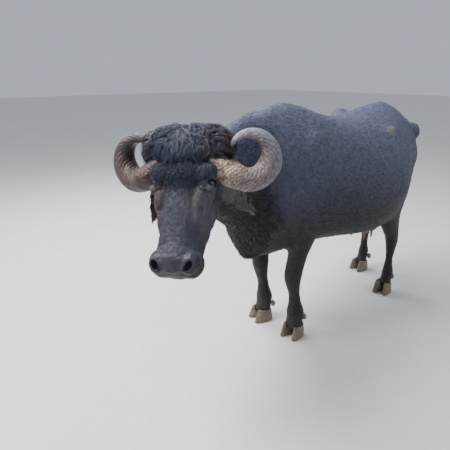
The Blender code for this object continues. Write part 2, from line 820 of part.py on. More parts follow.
def build_crown():
    """The core of the crown, half way out to the tips of its hair."""
    bm = bmesh.new()
    cut = CROWN_DEPTH / HEAD_SCALE
    for left, out, down, radii in CROWN_LUMPS:
        head_ball(bm, left, out, down, [radius - cut for radius in radii])
    crown = make_object("crown", bm)
    return remesh(crown, 0.009, 3, CROWN_CORE_TRIANGLES)


def crown_locks(crown, head):
    """Locks that leave a whorl on the poll and lie over the crown and its rim."""
    scalp = copy_object(head, "scalp")
    combine(scalp, crown, "UNION")
    mesh = scalp.data
    tree = BVHTree.FromPolygons([v.co for v in mesh.vertices], [p.vertices[:] for p in mesh.polygons])
    rim = BVHTree.FromPolygons([v.co for v in crown.data.vertices], [p.vertices[:] for p in crown.data.polygons])
    discard(scalp)
    chance = random.Random(SEED)
    middle = head_point(0.0, -0.045, 0.030)
    whorl = head_point(*CROWN_WHORL)
    axis = (whorl - middle).normalized()
    across = axis.cross(HEAD_LEFT).normalized()
    side = across.cross(axis)
    locks = []
    for index in range(CROWN_LOCKS):
        lean = math.acos(1 - (index + 0.5) / CROWN_LOCKS * CROWN_SPREAD)
        spin = index * 2.39996 + chance.uniform(-0.15, 0.15)
        ray = axis * math.cos(lean)
        ray += (side * math.cos(spin) + across * math.sin(spin)) * math.sin(lean)
        seed, normal, face, distance = rim.ray_cast(middle + ray * 0.5, -ray)
        if seed is None or tree.find_nearest(seed)[3] > 0.004:
            continue
        away = seed - whorl
        away += LOCK_FALL * Vector((0, 0, -1)) * 0.05
        twist = chance.uniform(-0.30, 0.30)
        length = chance.uniform(*LOCK_LENGTH)
        half = chance.uniform(*LOCK_HALF)
        lift = chance.uniform(0.85, 1.10)
        spine = []
        lay = []
        away = (away - normal * away.dot(normal)).normalized()
        spot, normal, face, distance = rim.find_nearest(seed - away * length * LOCK_START)
        for step, height in enumerate(LOCK_LIFTS):
            away = (away - normal * away.dot(normal)).normalized()
            spine.append(spot + normal * height * lift)
            lay.append(normal.copy())
            away = Matrix.Rotation(twist / 3, 3, normal) @ away
            spot, normal, face, distance = tree.find_nearest(spot + away * length / 3)
        locks.append(build_lock(spine, lay, half, LOCK_THICK))
    unite(crown, locks)
    keep_largest(crown)
    return crown


def build_udder():
    """Four quarters and their teats."""
    bm = bmesh.new()
    ball(bm, Vector((0, 0.830, 0.570)), (0.105, 0.140, 0.095))
    for x in (0.050, -0.050):
        for y in (0.785, 0.870):
            ball(bm, Vector((x, y, 0.515)), (0.052, 0.056, 0.058))
            ball(bm, Vector((x * 1.08, y, 0.448)), (0.014, 0.014, 0.060), None, 12)
    udder = make_object("udder", bm)
    return remesh(udder, 0.007, 2, 480)


def build_eye(name, sign):
    """The eyeball."""
    bm = bmesh.new()
    head_ball(bm, sign * EYE_SEAT[0], EYE_SEAT[1], EYE_SEAT[2], (EYE_RADIUS / HEAD_SCALE,) * 3, 0, 12)
    return make_object(name, bm)


def settle(obj):
    """Split faces into triangles, with no diagonal on an edge of other faces."""
    bm = bmesh.new()
    bm.from_mesh(obj.data)
    source = bm.faces.layers.int.new("source")
    for number, face in enumerate(bm.faces):
        face[source] = number
    bmesh.ops.triangulate(bm, faces=bm.faces[:])
    for edge in [edge for edge in bm.edges if len(edge.link_faces) > 2]:
        numbers = [face[source] for face in edge.link_faces]
        twins = [face for face in edge.link_faces if numbers.count(face[source]) == 2]
        if len(twins) != 2:
            continue
        order = list(twins[0].verts)
        apex = next(vert for vert in order if vert not in edge.verts)
        far = next(vert for vert in twins[1].verts if vert not in edge.verts)
        start = order[(order.index(apex) + 1) % 3]
        end = order[(order.index(apex) + 2) % 3]
        middle = bm.verts.new((apex.co + far.co + start.co + end.co) / 4)
        bmesh.ops.delete(bm, geom=twins, context="FACES_ONLY")
        for one, two in ((apex, start), (start, far), (far, end), (end, apex)):
            bm.faces.new((one, two, middle))
    bm.to_mesh(obj.data)
    bm.free()


def finish_node(obj, slot, colour, roughness):
    """Material and smooth shading."""
    obj.data.materials.clear()
    obj.data.materials.append(material(slot, colour, roughness))
    for polygon in obj.data.polygons:
        polygon.use_smooth = True
        polygon.material_index = 0


def centre_on_origin(objects):
    """Put the middle of the whole animal's box above the origin, with the floor left at zero."""
    corners = [vertex.co for obj in objects for vertex in obj.data.vertices]
    shift = Vector((0.0, 0.0, 0.0))
    for axis in (0, 1):
        low = min(corner[axis] for corner in corners)
        high = max(corner[axis] for corner in corners)
        shift[axis] = -(low + high) / 2
    for obj in objects:
        obj.data.transform(Matrix.Translation(shift))


def main():
    random.seed(SEED)
    clear_scene()
    body = build_body()
    head = build_head()

    # Neck and head part at one plane behind the jaw
    seam = NECK[4]
    tangent = (Vector(NECK[5][0]) - Vector(NECK[3][0])).normalized()
    across = tangent.cross(Vector((0, 0, 1))).normalized()
    centre = Vector(seam[0]) + tangent * 0.030
    before = region_box("before", centre + tangent * 0.5, across, tangent, (1.4, 1.4, 1.0), -GAP / 2)
    behind = region_box("behind", centre - tangent * 0.8, across, tangent, (2.2, 2.2, 1.6), -GAP / 2)
    combine(body, before, "DIFFERENCE")
    combine(head, behind, "DIFFERENCE")
    discard(before, behind)
    keep_largest(body)
    keep_largest(head)

    skull_clear = grown_copy(head, "skull_clear", GROW)
    crown = build_crown()
    crown_locks(crown, head)
    combine(crown, skull_clear, "DIFFERENCE")
    keep_largest(crown)
    head_clear = grown_copy(head, "head_clear", GROW)
    carve_head(head)
    body_clear = grown_copy(body, "body_clear", GROW)
    combine(crown, body_clear, "DIFFERENCE")

    nodes = {}
    for label, sign in (("left", 1), ("right", -1)):
        horn = build_horn("horn_" + label, label, sign)
        horn_clear = grown_copy(horn, "horn_clear", GROW)
        combine(horn, skull_clear, "DIFFERENCE")
        keep_largest(horn)
        nodes[horn.name] = (horn, "horn", HORN_TONE, 0.55)
        ear = build_ear("ear_" + label, label, sign)
        ear_clear = grown_copy(ear, "ear_clear", GROW)
        combine(ear, skull_clear, "DIFFERENCE")
        combine(ear, horn_clear, "DIFFERENCE")
        keep_largest(ear)
        nodes[ear.name] = (ear, "coat_warm", COAT_WARM, 0.75)
        combine(crown, horn_clear, "DIFFERENCE")
        combine(crown, ear_clear, "DIFFERENCE")
        keep_largest(crown)
        discard(horn_clear, ear_clear)
    settle(crown)
    nodes["crown"] = (crown, "coat_warm", COAT_WARM, 0.8)

    udder = build_udder()
    combine(udder, body_clear, "DIFFERENCE")
    keep_largest(udder)
    nodes["udder"] = (udder, "udder_skin", (0.13, 0.085, 0.075), 0.6)

    tail = build_tail()
    combine(tail, body_clear, "DIFFERENCE")
    keep_largest(tail)
    nodes["tail"] = (tail, "coat", COAT, 0.7)
    switch = build_switch()
    tail_clear = grown_copy(tail, "tail_clear", GROW)
    combine(switch, tail_clear, "DIFFERENCE")
    keep_largest(switch)
    discard(tail_clear)
    nodes["tail_switch"] = (switch, "coat", COAT, 0.7)

    for foot in FEET:
        for label, inner in (("outer", 1), ("inner", -1)):
            reach = inner if foot.endswith("left") else -inner
            claw = build_claw("claw_" + foot + "_" + label, foot, reach)
            combine(claw, body_clear, "DIFFERENCE")
            keep_largest(claw)
            nodes[claw.name] = (claw, "hoof", HOOF_TONE, 0.6)
            dew = build_dewclaw("dewclaw_" + foot + "_" + label, foot, reach)
            combine(dew, body_clear, "DIFFERENCE")
            keep_largest(dew)
            nodes[dew.name] = (dew, "hoof", HOOF_TONE, 0.6)

    # Legs part from the torso on planes that climb outward
    for label, sign in (("left", 1), ("right", -1)):
        leg = part_leg(body, "front_leg_" + label, sign, (0.045, 0.330), (-0.32, 0.120), (0.530, 0.660))
        nodes[leg.name] = (leg, "coat", COAT, 0.7)
        leg = part_leg(body, "hind_leg_" + label, sign, (0.040, 0.400), (0.720, 1.500), (0.515, 0.665))
        nodes[leg.name] = (leg, "coat", COAT, 0.7)
    sizes = (1.2, 1.6, 0.8)
    centre = Vector((0.02, -0.68, 1.02))
    across = Vector((1, 0, 0))
    ahead = Vector((0, -0.97, 0.22))
    inner = region_box("inner", centre, across, ahead, sizes, GAP / 2)
    outer = region_box("outer", centre, across, ahead, sizes, -GAP / 2)
    neck = part_off(body, "neck", inner, outer)
    nodes["neck"] = (neck, "coat", COAT, 0.7)
    body.name = "torso"
    nodes["torso"] = (body, "coat", COAT, 0.7)

    # Eyes in their sockets, then nostrils and the line of the mouth
    for label, sign in (("left", 1), ("right", -1)):
        eye = build_eye("eye_" + label, sign)
        socket = grown_copy(eye, "socket", GROW)
        combine(head, socket, "DIFFERENCE")
        discard(socket)
        nodes[eye.name] = (eye, "eye", (0.012, 0.009, 0.008), 0.12)
    keep_largest(head)
    nodes["head"] = (head, "coat", COAT, 0.7)

    discard(skull_clear, head_clear, body_clear)
    for obj, slot, colour, roughness in nodes.values():
        finish_node(obj, slot, colour, roughness)
    centre_on_origin([entry[0] for entry in nodes.values()])


main()
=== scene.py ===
"""Looks of a standing water buffalo cow: skin, coat, horns, hooves and eyes."""

import heapq
import math

import bmesh
import bpy
import numpy as np
from bpy.props import FloatProperty, IntProperty, PointerProperty
from mathutils import Matrix, Vector
from mathutils.bvhtree import BVHTree


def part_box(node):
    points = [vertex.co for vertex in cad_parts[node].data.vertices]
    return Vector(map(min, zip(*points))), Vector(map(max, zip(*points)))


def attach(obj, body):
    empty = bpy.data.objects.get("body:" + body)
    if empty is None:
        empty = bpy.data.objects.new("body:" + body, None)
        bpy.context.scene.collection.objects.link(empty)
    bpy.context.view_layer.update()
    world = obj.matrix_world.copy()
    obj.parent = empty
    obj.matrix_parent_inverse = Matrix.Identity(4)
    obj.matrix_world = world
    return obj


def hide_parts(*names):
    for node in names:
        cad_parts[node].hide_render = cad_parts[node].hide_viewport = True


bl_info = {
    "name": "Water buffalo looks",
    "version": (1, 0, 0),
    "blender": (4, 5, 0),
    "location": "View3D > Sidebar > Buffalo",
    "description": "Builds the skin, coat, horns and hooves of a standing water buffalo",
    "category": "Object",
}

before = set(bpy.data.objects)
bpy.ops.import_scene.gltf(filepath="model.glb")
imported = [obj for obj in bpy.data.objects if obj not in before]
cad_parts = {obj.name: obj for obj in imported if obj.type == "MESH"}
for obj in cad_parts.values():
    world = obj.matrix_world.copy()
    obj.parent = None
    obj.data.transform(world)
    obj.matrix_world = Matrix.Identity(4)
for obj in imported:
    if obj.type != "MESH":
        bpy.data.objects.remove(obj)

# The fit to the photo was made before the model was centred over its floor
# point; this claw corner tells how far it has moved since
CLAW_CORNER = Vector((0.13011, -0.07928, 0.0))
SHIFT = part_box("claw_front_left_outer")[0] - CLAW_CORNER
SHIFT.z = 0.0

# Camera of the photo, in the fit's own place
CAMERA_AT = Vector((1.6416, -1.7892, 1.53)) + SHIFT
CAMERA_PITCH = math.radians(19.468)
CAMERA_AIM = Vector((-0.77494, 0.63203, 0.0))
CAMERA_FOCAL = 430.0
PHOTO_SIZE = 450.0

# Head frame, as the solids have it
POLL = Vector((0.152, -0.784, 1.296)) + SHIFT
HEAD_SCALE = 1.04
HEAD_TURN = math.radians(37.0)
FACE_SLOPE = math.radians(35.5)
HEAD_TILT = math.radians(4.2)
HEADING = Vector((math.sin(HEAD_TURN), -math.cos(HEAD_TURN), 0.0))
LEVEL_LEFT = Vector((math.cos(HEAD_TURN), math.sin(HEAD_TURN), 0.0))
LEVEL_DOWN = HEADING * math.sin(FACE_SLOPE) - Vector((0, 0, math.cos(FACE_SLOPE)))
HEAD_OUT = HEADING * math.cos(FACE_SLOPE) + Vector((0, 0, math.sin(FACE_SLOPE)))
HEAD_LEFT = LEVEL_LEFT * math.cos(HEAD_TILT) - LEVEL_DOWN * math.sin(HEAD_TILT)
HEAD_DOWN = LEVEL_DOWN * math.cos(HEAD_TILT) + LEVEL_LEFT * math.sin(HEAD_TILT)
HEAD_AXES = np.array([HEAD_LEFT, HEAD_OUT, HEAD_DOWN])

EYE_SEAT = (0.106, -0.026, 0.205)
EYE_RADIUS = 0.0245
EYE_FORWARD = math.radians(36)
NOSTRIL = (0.063, 0.010, 0.531)
HORN_ROOT = (0.060, -0.065, 0.092)
CROWN_LUMPS = [
    (-0.006, -0.060, 0.030, (0.176, 0.098, 0.102)),
    (0.000, -0.010, 0.072, (0.134, 0.062, 0.088)),
    (0.097, -0.066, 0.027, (0.104, 0.086, 0.092)),
    (-0.106, -0.062, 0.034, (0.104, 0.086, 0.094)),
]
CROWN_DEPTH = 0.023
BROW_FILL = (0.000, -0.043, 0.114, (0.125, 0.078, 0.080))
CROWN_WHORL = (0.0, -0.020, -0.075)

# Folds of the neck: line in the fit's own place, width and height
NECK_FOLDS = (
    (((0.165, -0.56, 1.22), (0.170, -0.54, 1.05), (0.150, -0.52, 0.90), (0.10, -0.50, 0.74)), 0.012, 0.006),
    (((0.180, -0.50, 1.20), (0.185, -0.48, 1.03), (0.165, -0.46, 0.88), (0.12, -0.44, 0.72)), 0.011, 0.005),
    (((0.210, -0.42, 1.14), (0.215, -0.40, 0.98), (0.195, -0.38, 0.84), (0.15, -0.37, 0.70)), 0.011, 0.005),
    (((-0.12, -0.60, 1.20), (-0.13, -0.56, 1.05), (-0.12, -0.54, 0.90), (-0.08, -0.50, 0.76)), 0.012, 0.006),
    (((-0.19, -0.44, 1.14), (-0.20, -0.42, 0.98), (-0.18, -0.40, 0.84), (-0.13, -0.38, 0.70)), 0.011, 0.005),
)
# Folds of elbow and flank on the left; the right ones mirror them
SIDE_FOLDS = (
    (((0.300, 0.000, 0.70), (0.310, 0.070, 0.78), (0.330, 0.120, 0.92)), 0.012, 0.005),
    (((0.285, 0.010, 0.66), (0.305, 0.100, 0.72), (0.330, 0.170, 0.82)), 0.012, 0.005),
    (((0.330, 0.640, 0.62), (0.300, 0.700, 0.78), (0.320, 0.700, 0.92)), 0.014, 0.007),
)

FLESH = (
    "head", "neck", "torso", "tail", "udder", "ear_left", "ear_right",
    "front_leg_left", "front_leg_right", "hind_leg_left", "hind_leg_right",
)
FEET = ("front_left", "front_right", "hind_left", "hind_right")

# Colours, linear
CHARCOAL = (0.0135, 0.0145, 0.0215)
# Painted bluish sheen of the upper body
SHEEN_SLATE = (0.100, 0.118, 0.195)
# Steel blue: the crown's own tone, and painted sheen on the upper flanks
STEEL = (0.046, 0.056, 0.100)
BROWN = (0.0210, 0.0135, 0.0140)
RUST = (0.085, 0.050, 0.050)
ASH = (0.170, 0.185, 0.235)
MAUVE = (0.058, 0.050, 0.068)
TAUPE = (0.075, 0.068, 0.084)
# Near black: lips and wings of the nose, and painted shade under the body, on the limbs and under the muzzle
NEAR_BLACK = (0.0060, 0.0052, 0.0060)
DUST = (0.075, 0.056, 0.044)
PINK = (0.26, 0.17, 0.145)
MUD = (0.24, 0.205, 0.17)
# Ink black: the rims of the lids, and painted shade in the nostrils
INK = (0.0035, 0.0030, 0.0032)
FOREHEAD_BLUE = (0.0130, 0.0170, 0.0340)
BRIDGE_BLUE = (0.020, 0.025, 0.046)
CHEEK_RIDGE = (0.070, 0.052, 0.046)
FAR_CHEEK = (0.055, 0.034, 0.030)
BROW_BROWN = (0.062, 0.050, 0.046)
# Painted highlight at the inner corner of the eye
CORNER_GLINT_TAN = (0.20, 0.13, 0.09)
EAR_TONES = (
    ("ear_left", (0.165, 0.150, 0.160), 0.85),
    ("ear_right", (0.034, 0.020, 0.016), 0.9),
)

# Patches of dry mud: photo pixel across and down, and reach in metres
MUD_SPOTS = ((390.0, 130.0, 0.050), (405.6, 141.0, 0.035))


def head_point(left, out, down):
    """A point of the head frame in the row frame."""
    return POLL + (HEAD_LEFT * left + HEAD_OUT * out + HEAD_DOWN * down) * HEAD_SCALE


def to_head(places):
    """Rows of points as left, out and down of the head frame."""
    return (places - np.array(POLL)) @ HEAD_AXES.T / HEAD_SCALE


def ramp(values, low, high):
    """A smooth step from 0 at low to 1 at high."""
    share = np.clip((values - low) / (high - low), 0.0, 1.0)
    return share * share * (3.0 - 2.0 * share)


def near(places, spot, reach):
    """1 at a spot, falling to 0 at reach."""
    gap = np.linalg.norm(places - np.array(spot), axis=1)
    return 1.0 - ramp(gap, 0.0, reach)


def line_gap(places, points):
    """Distance from each place to a line through points."""
    best = np.full(len(places), 1e9)
    for start, end in zip(points, points[1:]):
        start = np.array(start)
        step = np.array(end) - start
        share = np.clip((places - start) @ step / (step @ step), 0.0, 1.0)
        gap = np.linalg.norm(places - start - share[:, None] * step, axis=1)
        best = np.minimum(best, gap)
    return best


# Shader helpers


class Value:
    """A shader socket that takes arithmetic."""

    def __init__(self, graph, socket):
        self.graph = graph
        self.socket = socket

    def math(self, kind, *others):
        node = self.graph.tree.nodes.new("ShaderNodeMath")
        node.operation = kind
        for slot, item in zip(node.inputs, (self, *others)):
            self.graph.plug(item, slot)
        return Value(self.graph, node.outputs[0])

    def __add__(self, other):
        return self.math("ADD", other)

    def __mul__(self, other):
        return self.math("MULTIPLY", other)

    def __sub__(self, other):
        return self.math("SUBTRACT", other)

    def __rsub__(self, other):
        return (self * -1.0) + other


class Graph:
    """A material's node tree, built from small calls."""

    def __init__(self, name):
        self.material = bpy.data.materials.new(name)
        self.material.use_nodes = True
        self.tree = self.material.node_tree
        self.tree.nodes.clear()

    def plug(self, item, slot):
        if isinstance(item, Value):
            self.tree.links.new(item.socket, slot)
        else:
            slot.default_value = item

    def node(self, kind, settings=None, inputs=None, output=0):
        """Adds a node, sets it, feeds its inputs and gives one output."""
        node = self.tree.nodes.new("ShaderNode" + kind)
        for key, item in (settings or {}).items():
            setattr(node, key, item)
        for key, item in (inputs or {}).items():
            self.plug(item, node.inputs[key])
        return Value(self, node.outputs[output])

    def place(self, scale=(1, 1, 1)):
        """Object coordinates, scaled."""
        coords = self.node("TexCoord", output="Object")
        return self.node("Mapping", None, {"Vector": coords, "Scale": scale})

    def noise(self, vector, scale, detail=4.0, rough=0.55, bend=0.0):
        inputs = {"Vector": vector, "Scale": scale, "Detail": detail, "Roughness": rough, "Distortion": bend}
        return self.node("TexNoise", None, inputs)

    def cells(self, vector, scale):
        return self.node("TexVoronoi", None, {"Vector": vector, "Scale": scale})

    def spread(self, value, low, high, bottom=0.0, top=1.0):
        inputs = {"Value": value, "From Min": low, "From Max": high, "To Min": bottom, "To Max": top}
        return self.node("MapRange", {"clamp": True}, inputs)

    def blend(self, share, first, second, kind="MIX"):
        node = self.tree.nodes.new("ShaderNodeMix")
        node.data_type = "RGBA"
        node.blend_type = kind
        for slot, item in ((0, share), (6, first), (7, second)):
            if isinstance(item, tuple) and len(item) == 3:
                item = (*item, 1.0)
            self.plug(item, node.inputs[slot])
        return Value(self, node.outputs[2])

    def bump(self, height, strength, distance, under=None):
        inputs = {"Height": height, "Strength": strength, "Distance": distance}
        if under is not None:
            inputs["Normal"] = under
        return self.node("Bump", None, inputs)

    def finish(self, colour, rough, normal=None, fixed=None):
        """Ends in one Principled surface."""
        shader = self.tree.nodes.new("ShaderNodeBsdfPrincipled")
        self.plug(colour, shader.inputs["Base Color"])
        self.plug(rough, shader.inputs["Roughness"])
        if normal is not None:
            self.plug(normal, shader.inputs["Normal"])
        for key, item in (fixed or {}).items():
            shader.inputs[key].default_value = item
        out = self.tree.nodes.new("ShaderNodeOutputMaterial")
        self.tree.links.new(shader.outputs[0], out.inputs[0])
        return self.material


def kept_material(name, build):
    """The named material, built at its first use."""
    found = bpy.data.materials.get(name)
    return found or build(name)


def hide_material(name):
    """Dark hide: marking with painted sheen and shade, dusty fleck, fine wrinkles and pores."""
    graph = Graph(name)
    marking_and_light = graph.node("Attribute", {"attribute_name": "marking_and_light"}, output="Color")
    wet = graph.node("Attribute", {"attribute_name": "wet"}, output="Fac")
    place = graph.place()
    along = graph.place(scale=(1.0, 0.45, 1.0))
    patches = graph.spread(graph.noise(place, 7.0, 5.0, 0.6, 0.4), 0.30, 0.72)
    mottle = graph.spread(graph.noise(place, 46.0, 5.0, 0.65), 0.34, 0.70)
    fleck = graph.spread(graph.noise(along, 420.0, 2.0, 0.6), 0.55, 0.74)
    dry = graph.blend(patches * 0.22, marking_and_light, (0.045, 0.050, 0.070))
    dark = graph.blend(mottle * 0.50, dry, (0.0050, 0.0045, 0.0060))
    hair = graph.blend(fleck * (1.0 - wet) * 0.34, dark, (0.150, 0.160, 0.210))
    folds = graph.noise(along, 34.0, 6.0, 0.62, 0.8)
    pores = graph.cells(place, 260.0)
    grit = graph.noise(along, 520.0, 3.0, 0.6)
    first = graph.bump(folds, 0.55, 0.010)
    second = graph.bump(pores * -1.0, 0.30, 0.0018, first)
    third = graph.bump(grit, 0.35, 0.0016, second)
    rough = graph.spread(mottle, 0.0, 1.0, 0.50, 0.66) - wet * 0.30
    fixed = {"Specular IOR Level": 0.30, "Sheen Weight": 0.03, "Sheen Roughness": 0.45}
    return graph.finish(hair, rough, third, fixed)


def coat_material(name):
    """Hair: the marking of the skin under it, painted sheen and shade included, with its own spread of tone.
    """
    graph = Graph(name)
    marking_and_light = graph.node("Attribute", {"attribute_name": "marking_and_light"}, output="Color")
    tone = graph.noise(graph.place(), 160.0, 3.0, 0.6)
    share = graph.spread(tone, 0.35, 0.70)
    colour = graph.blend(share * 0.45, marking_and_light, (0.006, 0.0055, 0.006))
    grit = graph.noise(graph.place(), 900.0, 2.0, 0.6)
    rough = graph.spread(tone, 0.3, 0.7, 0.40, 0.55)
    fixed = {"Specular IOR Level": 0.35}
    return graph.finish(colour, rough, graph.bump(grit, 0.2, 0.0008), fixed)


def horn_material(name):
    """Horn: muddy tan root, mauve-grey middle and grey tip lightened by painted light from above, with growth
    rings; the right horn darker as painted shade.
    """
    graph = Graph(name)
    along = graph.node("Attribute", {"attribute_name": "along"}, output="Fac")
    place = graph.place()
    lit = graph.node("Attribute", {"attribute_name": "shade"}, output="Fac")
    wobble = graph.noise(place, 22.0, 4.0, 0.6)
    rings = ((along + wobble * 0.05) * 190.0).math("SINE")
    broad = ((along + wobble * 0.08) * 47.0).math("SINE")
    ramp_node = graph.tree.nodes.new("ShaderNodeValToRGB")
    graph.plug(along + (wobble - 0.5) * 0.16, ramp_node.inputs[0])
    # The grey tip is partly its own tone and partly painted light: lighter and bluer, as lit from above
    stops = [
        (0.00, (0.190, 0.190, 0.240)), (0.14, (0.215, 0.215, 0.275)), (0.36, (0.150, 0.125, 0.150)),
        (0.56, (0.210, 0.160, 0.155)), (0.74, (0.460, 0.345, 0.235)), (1.00, (0.360, 0.270, 0.190)),
    ]
    items = ramp_node.color_ramp.elements
    while len(items) < len(stops):
        items.new(0.5)
    for item, (spot, tone) in zip(items, stops):
        item.position = spot
        item.color = (*tone, 1.0)
    base = Value(graph, ramp_node.outputs[0])
    mud = graph.spread(graph.noise(place, 44.0, 6.0, 0.72, 0.5), 0.47, 0.58)
    stain = graph.blend(mud * graph.spread(along, 0.25, 0.9, 0.35, 0.9), base, (0.052, 0.038, 0.034))
    pale = graph.spread(graph.noise(place, 85.0, 5.0, 0.7), 0.54, 0.68)
    flaked = graph.blend(pale * 0.55, stain, (0.58, 0.52, 0.46))
    lined = graph.blend(graph.spread(rings, 0.2, 1.0) * 0.34, flaked, (0.036, 0.030, 0.030))
    # Painted shade: the right horn, marked 0 in the shade attribute, takes a dimmed, darker copy of the
    # colour
    dim = graph.blend(0.74, lined, (0.080, 0.055, 0.050), "MULTIPLY")
    dark = graph.blend(0.55, dim, (0.062, 0.044, 0.040))
    final = graph.blend(lit, dark, lined)
    height = rings * 0.5 + broad * 1.2 + graph.noise(place, 60.0, 5.0, 0.7) * 2.2
    normal = graph.bump(height, 0.55, 0.0035)
    rough = graph.spread(mud, 0.0, 1.0, 0.44, 0.74)
    return graph.finish(final, rough, normal, {"Specular IOR Level": 0.40})


def hoof_material(name):
    """Hoof horn with level growth lines and dried mud."""
    graph = Graph(name)
    place = graph.place()
    rise = graph.place(scale=(0.25, 0.25, 1.0))
    lines = graph.noise(rise, 210.0, 3.0, 0.5)
    mud = graph.spread(graph.noise(place, 42.0, 5.0, 0.7), 0.40, 0.62)
    base = graph.blend(graph.spread(lines, 0.35, 0.65), (0.060, 0.050, 0.044), (0.150, 0.125, 0.100))
    colour = graph.blend(mud * 0.7, base, (0.260, 0.205, 0.140))
    normal = graph.bump(lines + mud * 0.6, 0.5, 0.002)
    return graph.finish(colour, graph.spread(mud, 0.0, 1.0, 0.42, 0.85), normal)


def eye_material(name):
    """Eyeball: long dark pupil in a deep brown iris, brown white near the rim."""
    graph = Graph(name)
    iris = graph.node("Attribute", {"attribute_name": "iris"}, output="Fac")
    pupil = graph.node("Attribute", {"attribute_name": "pupil"}, output="Fac")
    rays = graph.noise(graph.place(), 260.0, 4.0, 0.7)
    brown = graph.blend(graph.spread(rays, 0.3, 0.7), (0.0065, 0.0036, 0.0024), (0.017, 0.0085, 0.0050))
    white = graph.blend(graph.spread(rays, 0.4, 0.8), (0.060, 0.040, 0.034), (0.120, 0.090, 0.085))
    ball = graph.blend(graph.spread(iris, 0.84, 0.90), brown, white)
    colour = graph.blend(graph.spread(pupil, 0.92, 1.04), (0.002, 0.002, 0.0025), ball)
    fixed = {"Coat Weight": 0.55, "Coat Roughness": 0.04, "Specular IOR Level": 0.25}
    return graph.finish(colour, graph.spread(rays, 0.0, 1.0, 0.10, 0.16), None, fixed)


def floor_material(name):
    """Plain pale studio floor."""
    graph = Graph(name)
    grain = graph.noise(graph.place(), 3.0, 4.0, 0.5)
    colour = graph.blend(graph.spread(grain, 0.3, 0.7), (0.74, 0.73, 0.70), (0.78, 0.77, 0.745))
    return graph.finish(colour, 0.75)


# Mesh helpers


def clean_copy(node):
    """A node's mesh as bmesh, with its split corners merged."""
    bm = bmesh.new()
    bm.from_mesh(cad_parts[node].data)
    bmesh.ops.remove_doubles(bm, verts=bm.verts, dist=1e-5)
    return bm


def object_from(name, mesh):
    obj = bpy.data.objects.new(name, mesh)
    bpy.context.scene.collection.objects.link(obj)
    return obj


def evaluated_mesh(obj):
    """The mesh of an object with its modifiers on it."""
    graph = bpy.context.evaluated_depsgraph_get()
    return bpy.data.meshes.new_from_object(obj.evaluated_get(graph))


def points_of(mesh):
    flat = np.empty(len(mesh.vertices) * 3, np.float32)
    mesh.vertices.foreach_get("co", flat)
    return flat.reshape(-1, 3).astype(float)


def set_points(mesh, places):
    mesh.vertices.foreach_set("co", places.astype(np.float32).ravel())
    mesh.update()


def normals_of(mesh):
    flat = np.empty(len(mesh.vertices) * 3, np.float32)
    mesh.vertex_normals.foreach_get("vector", flat)
    return flat.reshape(-1, 3).astype(float)


def faces_of(mesh):
    """Triangles of a mesh as rows of vertex numbers."""
    mesh.calc_loop_triangles()
    flat = np.empty(len(mesh.loop_triangles) * 3, np.int32)
    mesh.loop_triangles.foreach_get("vertices", flat)
    return flat.reshape(-1, 3)


def mesh_from(name, places, faces):
    """A mesh from rows of points and rows of triangle corners."""
    mesh = bpy.data.meshes.new(name)
    mesh.vertices.add(len(places))
    mesh.vertices.foreach_set("co", places.astype(np.float32).ravel())
    mesh.loops.add(len(faces) * 3)
    mesh.loops.foreach_set("vertex_index", faces.astype(np.int32).ravel())
    mesh.polygons.add(len(faces))
    mesh.polygons.foreach_set("loop_start", np.arange(0, len(faces) * 3, 3, dtype=np.int32))
    mesh.update(calc_edges=True)
    mesh.validate()
    return mesh


def paint(mesh, name, rows):
    """Stores a colour per vertex."""
    layer = mesh.attributes.new(name, "FLOAT_COLOR", "POINT")
    full = np.ones((len(rows), 4), np.float32)
    full[:, :3] = rows
    layer.data.foreach_set("color", full.ravel())


def mark(mesh, name, values):
    """Stores a number per vertex."""
    layer = mesh.attributes.new(name, "FLOAT", "POINT")
    layer.data.foreach_set("value", np.asarray(values, np.float32))


def settle_piece(obj, material, slot, *nodes):
    """Gives a finished piece its material and body and hides the CAD nodes it replaces; the slot is not used.
    """
    obj.data.materials.clear()
    obj.data.materials.append(material)
    obj.data.polygons.foreach_set("use_smooth", np.ones(len(obj.data.polygons), bool))
    obj.data.update()
    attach(obj, "root")
    if nodes:
        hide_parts(*nodes)
    return obj


def smooth_mesh(places, edges, strength, rounds):
    """Smooths without shrinking; strength is per vertex."""
    count = len(places)
    ends = np.concatenate([edges[:, 0], edges[:, 1]])
    others = np.concatenate([edges[:, 1], edges[:, 0]])
    degree = np.maximum(np.bincount(ends, minlength=count), 1)
    for turn in range(rounds * 2):
        share = 0.55 if turn % 2 == 0 else -0.565
        pull = np.empty_like(places)
        for axis in range(3):
            total = np.bincount(ends, weights=places[others, axis], minlength=count)
            pull[:, axis] = total / degree - places[:, axis]
        places = places + pull * (strength * share)[:, None]
    return places


def seen_spot(tree, across, down):
    """Where the line of sight through a photo pixel meets the skin."""
    ahead = CAMERA_AIM * math.cos(CAMERA_PITCH) - Vector((0, 0, math.sin(CAMERA_PITCH)))
    right = ahead.cross(Vector((0, 0, 1))).normalized()
    up = right.cross(ahead).normalized()
    middle = PHOTO_SIZE / 2
    ray = ahead + right * ((across - middle) / CAMERA_FOCAL) + up * ((middle - down) / CAMERA_FOCAL)
    hit = tree.ray_cast(CAMERA_AT, ray.normalized())[0]
    if hit is None:
        raise RuntimeError("no skin at that spot")
    return hit


# Markings and painted light, the same for skin and coat


def lean_to(colours, tone, share):
    """Moves colours towards a tone by a share per row."""
    share = np.clip(share, 0.0, 1.0)[:, None]
    return colours * (1.0 - share) + np.array(tone) * share


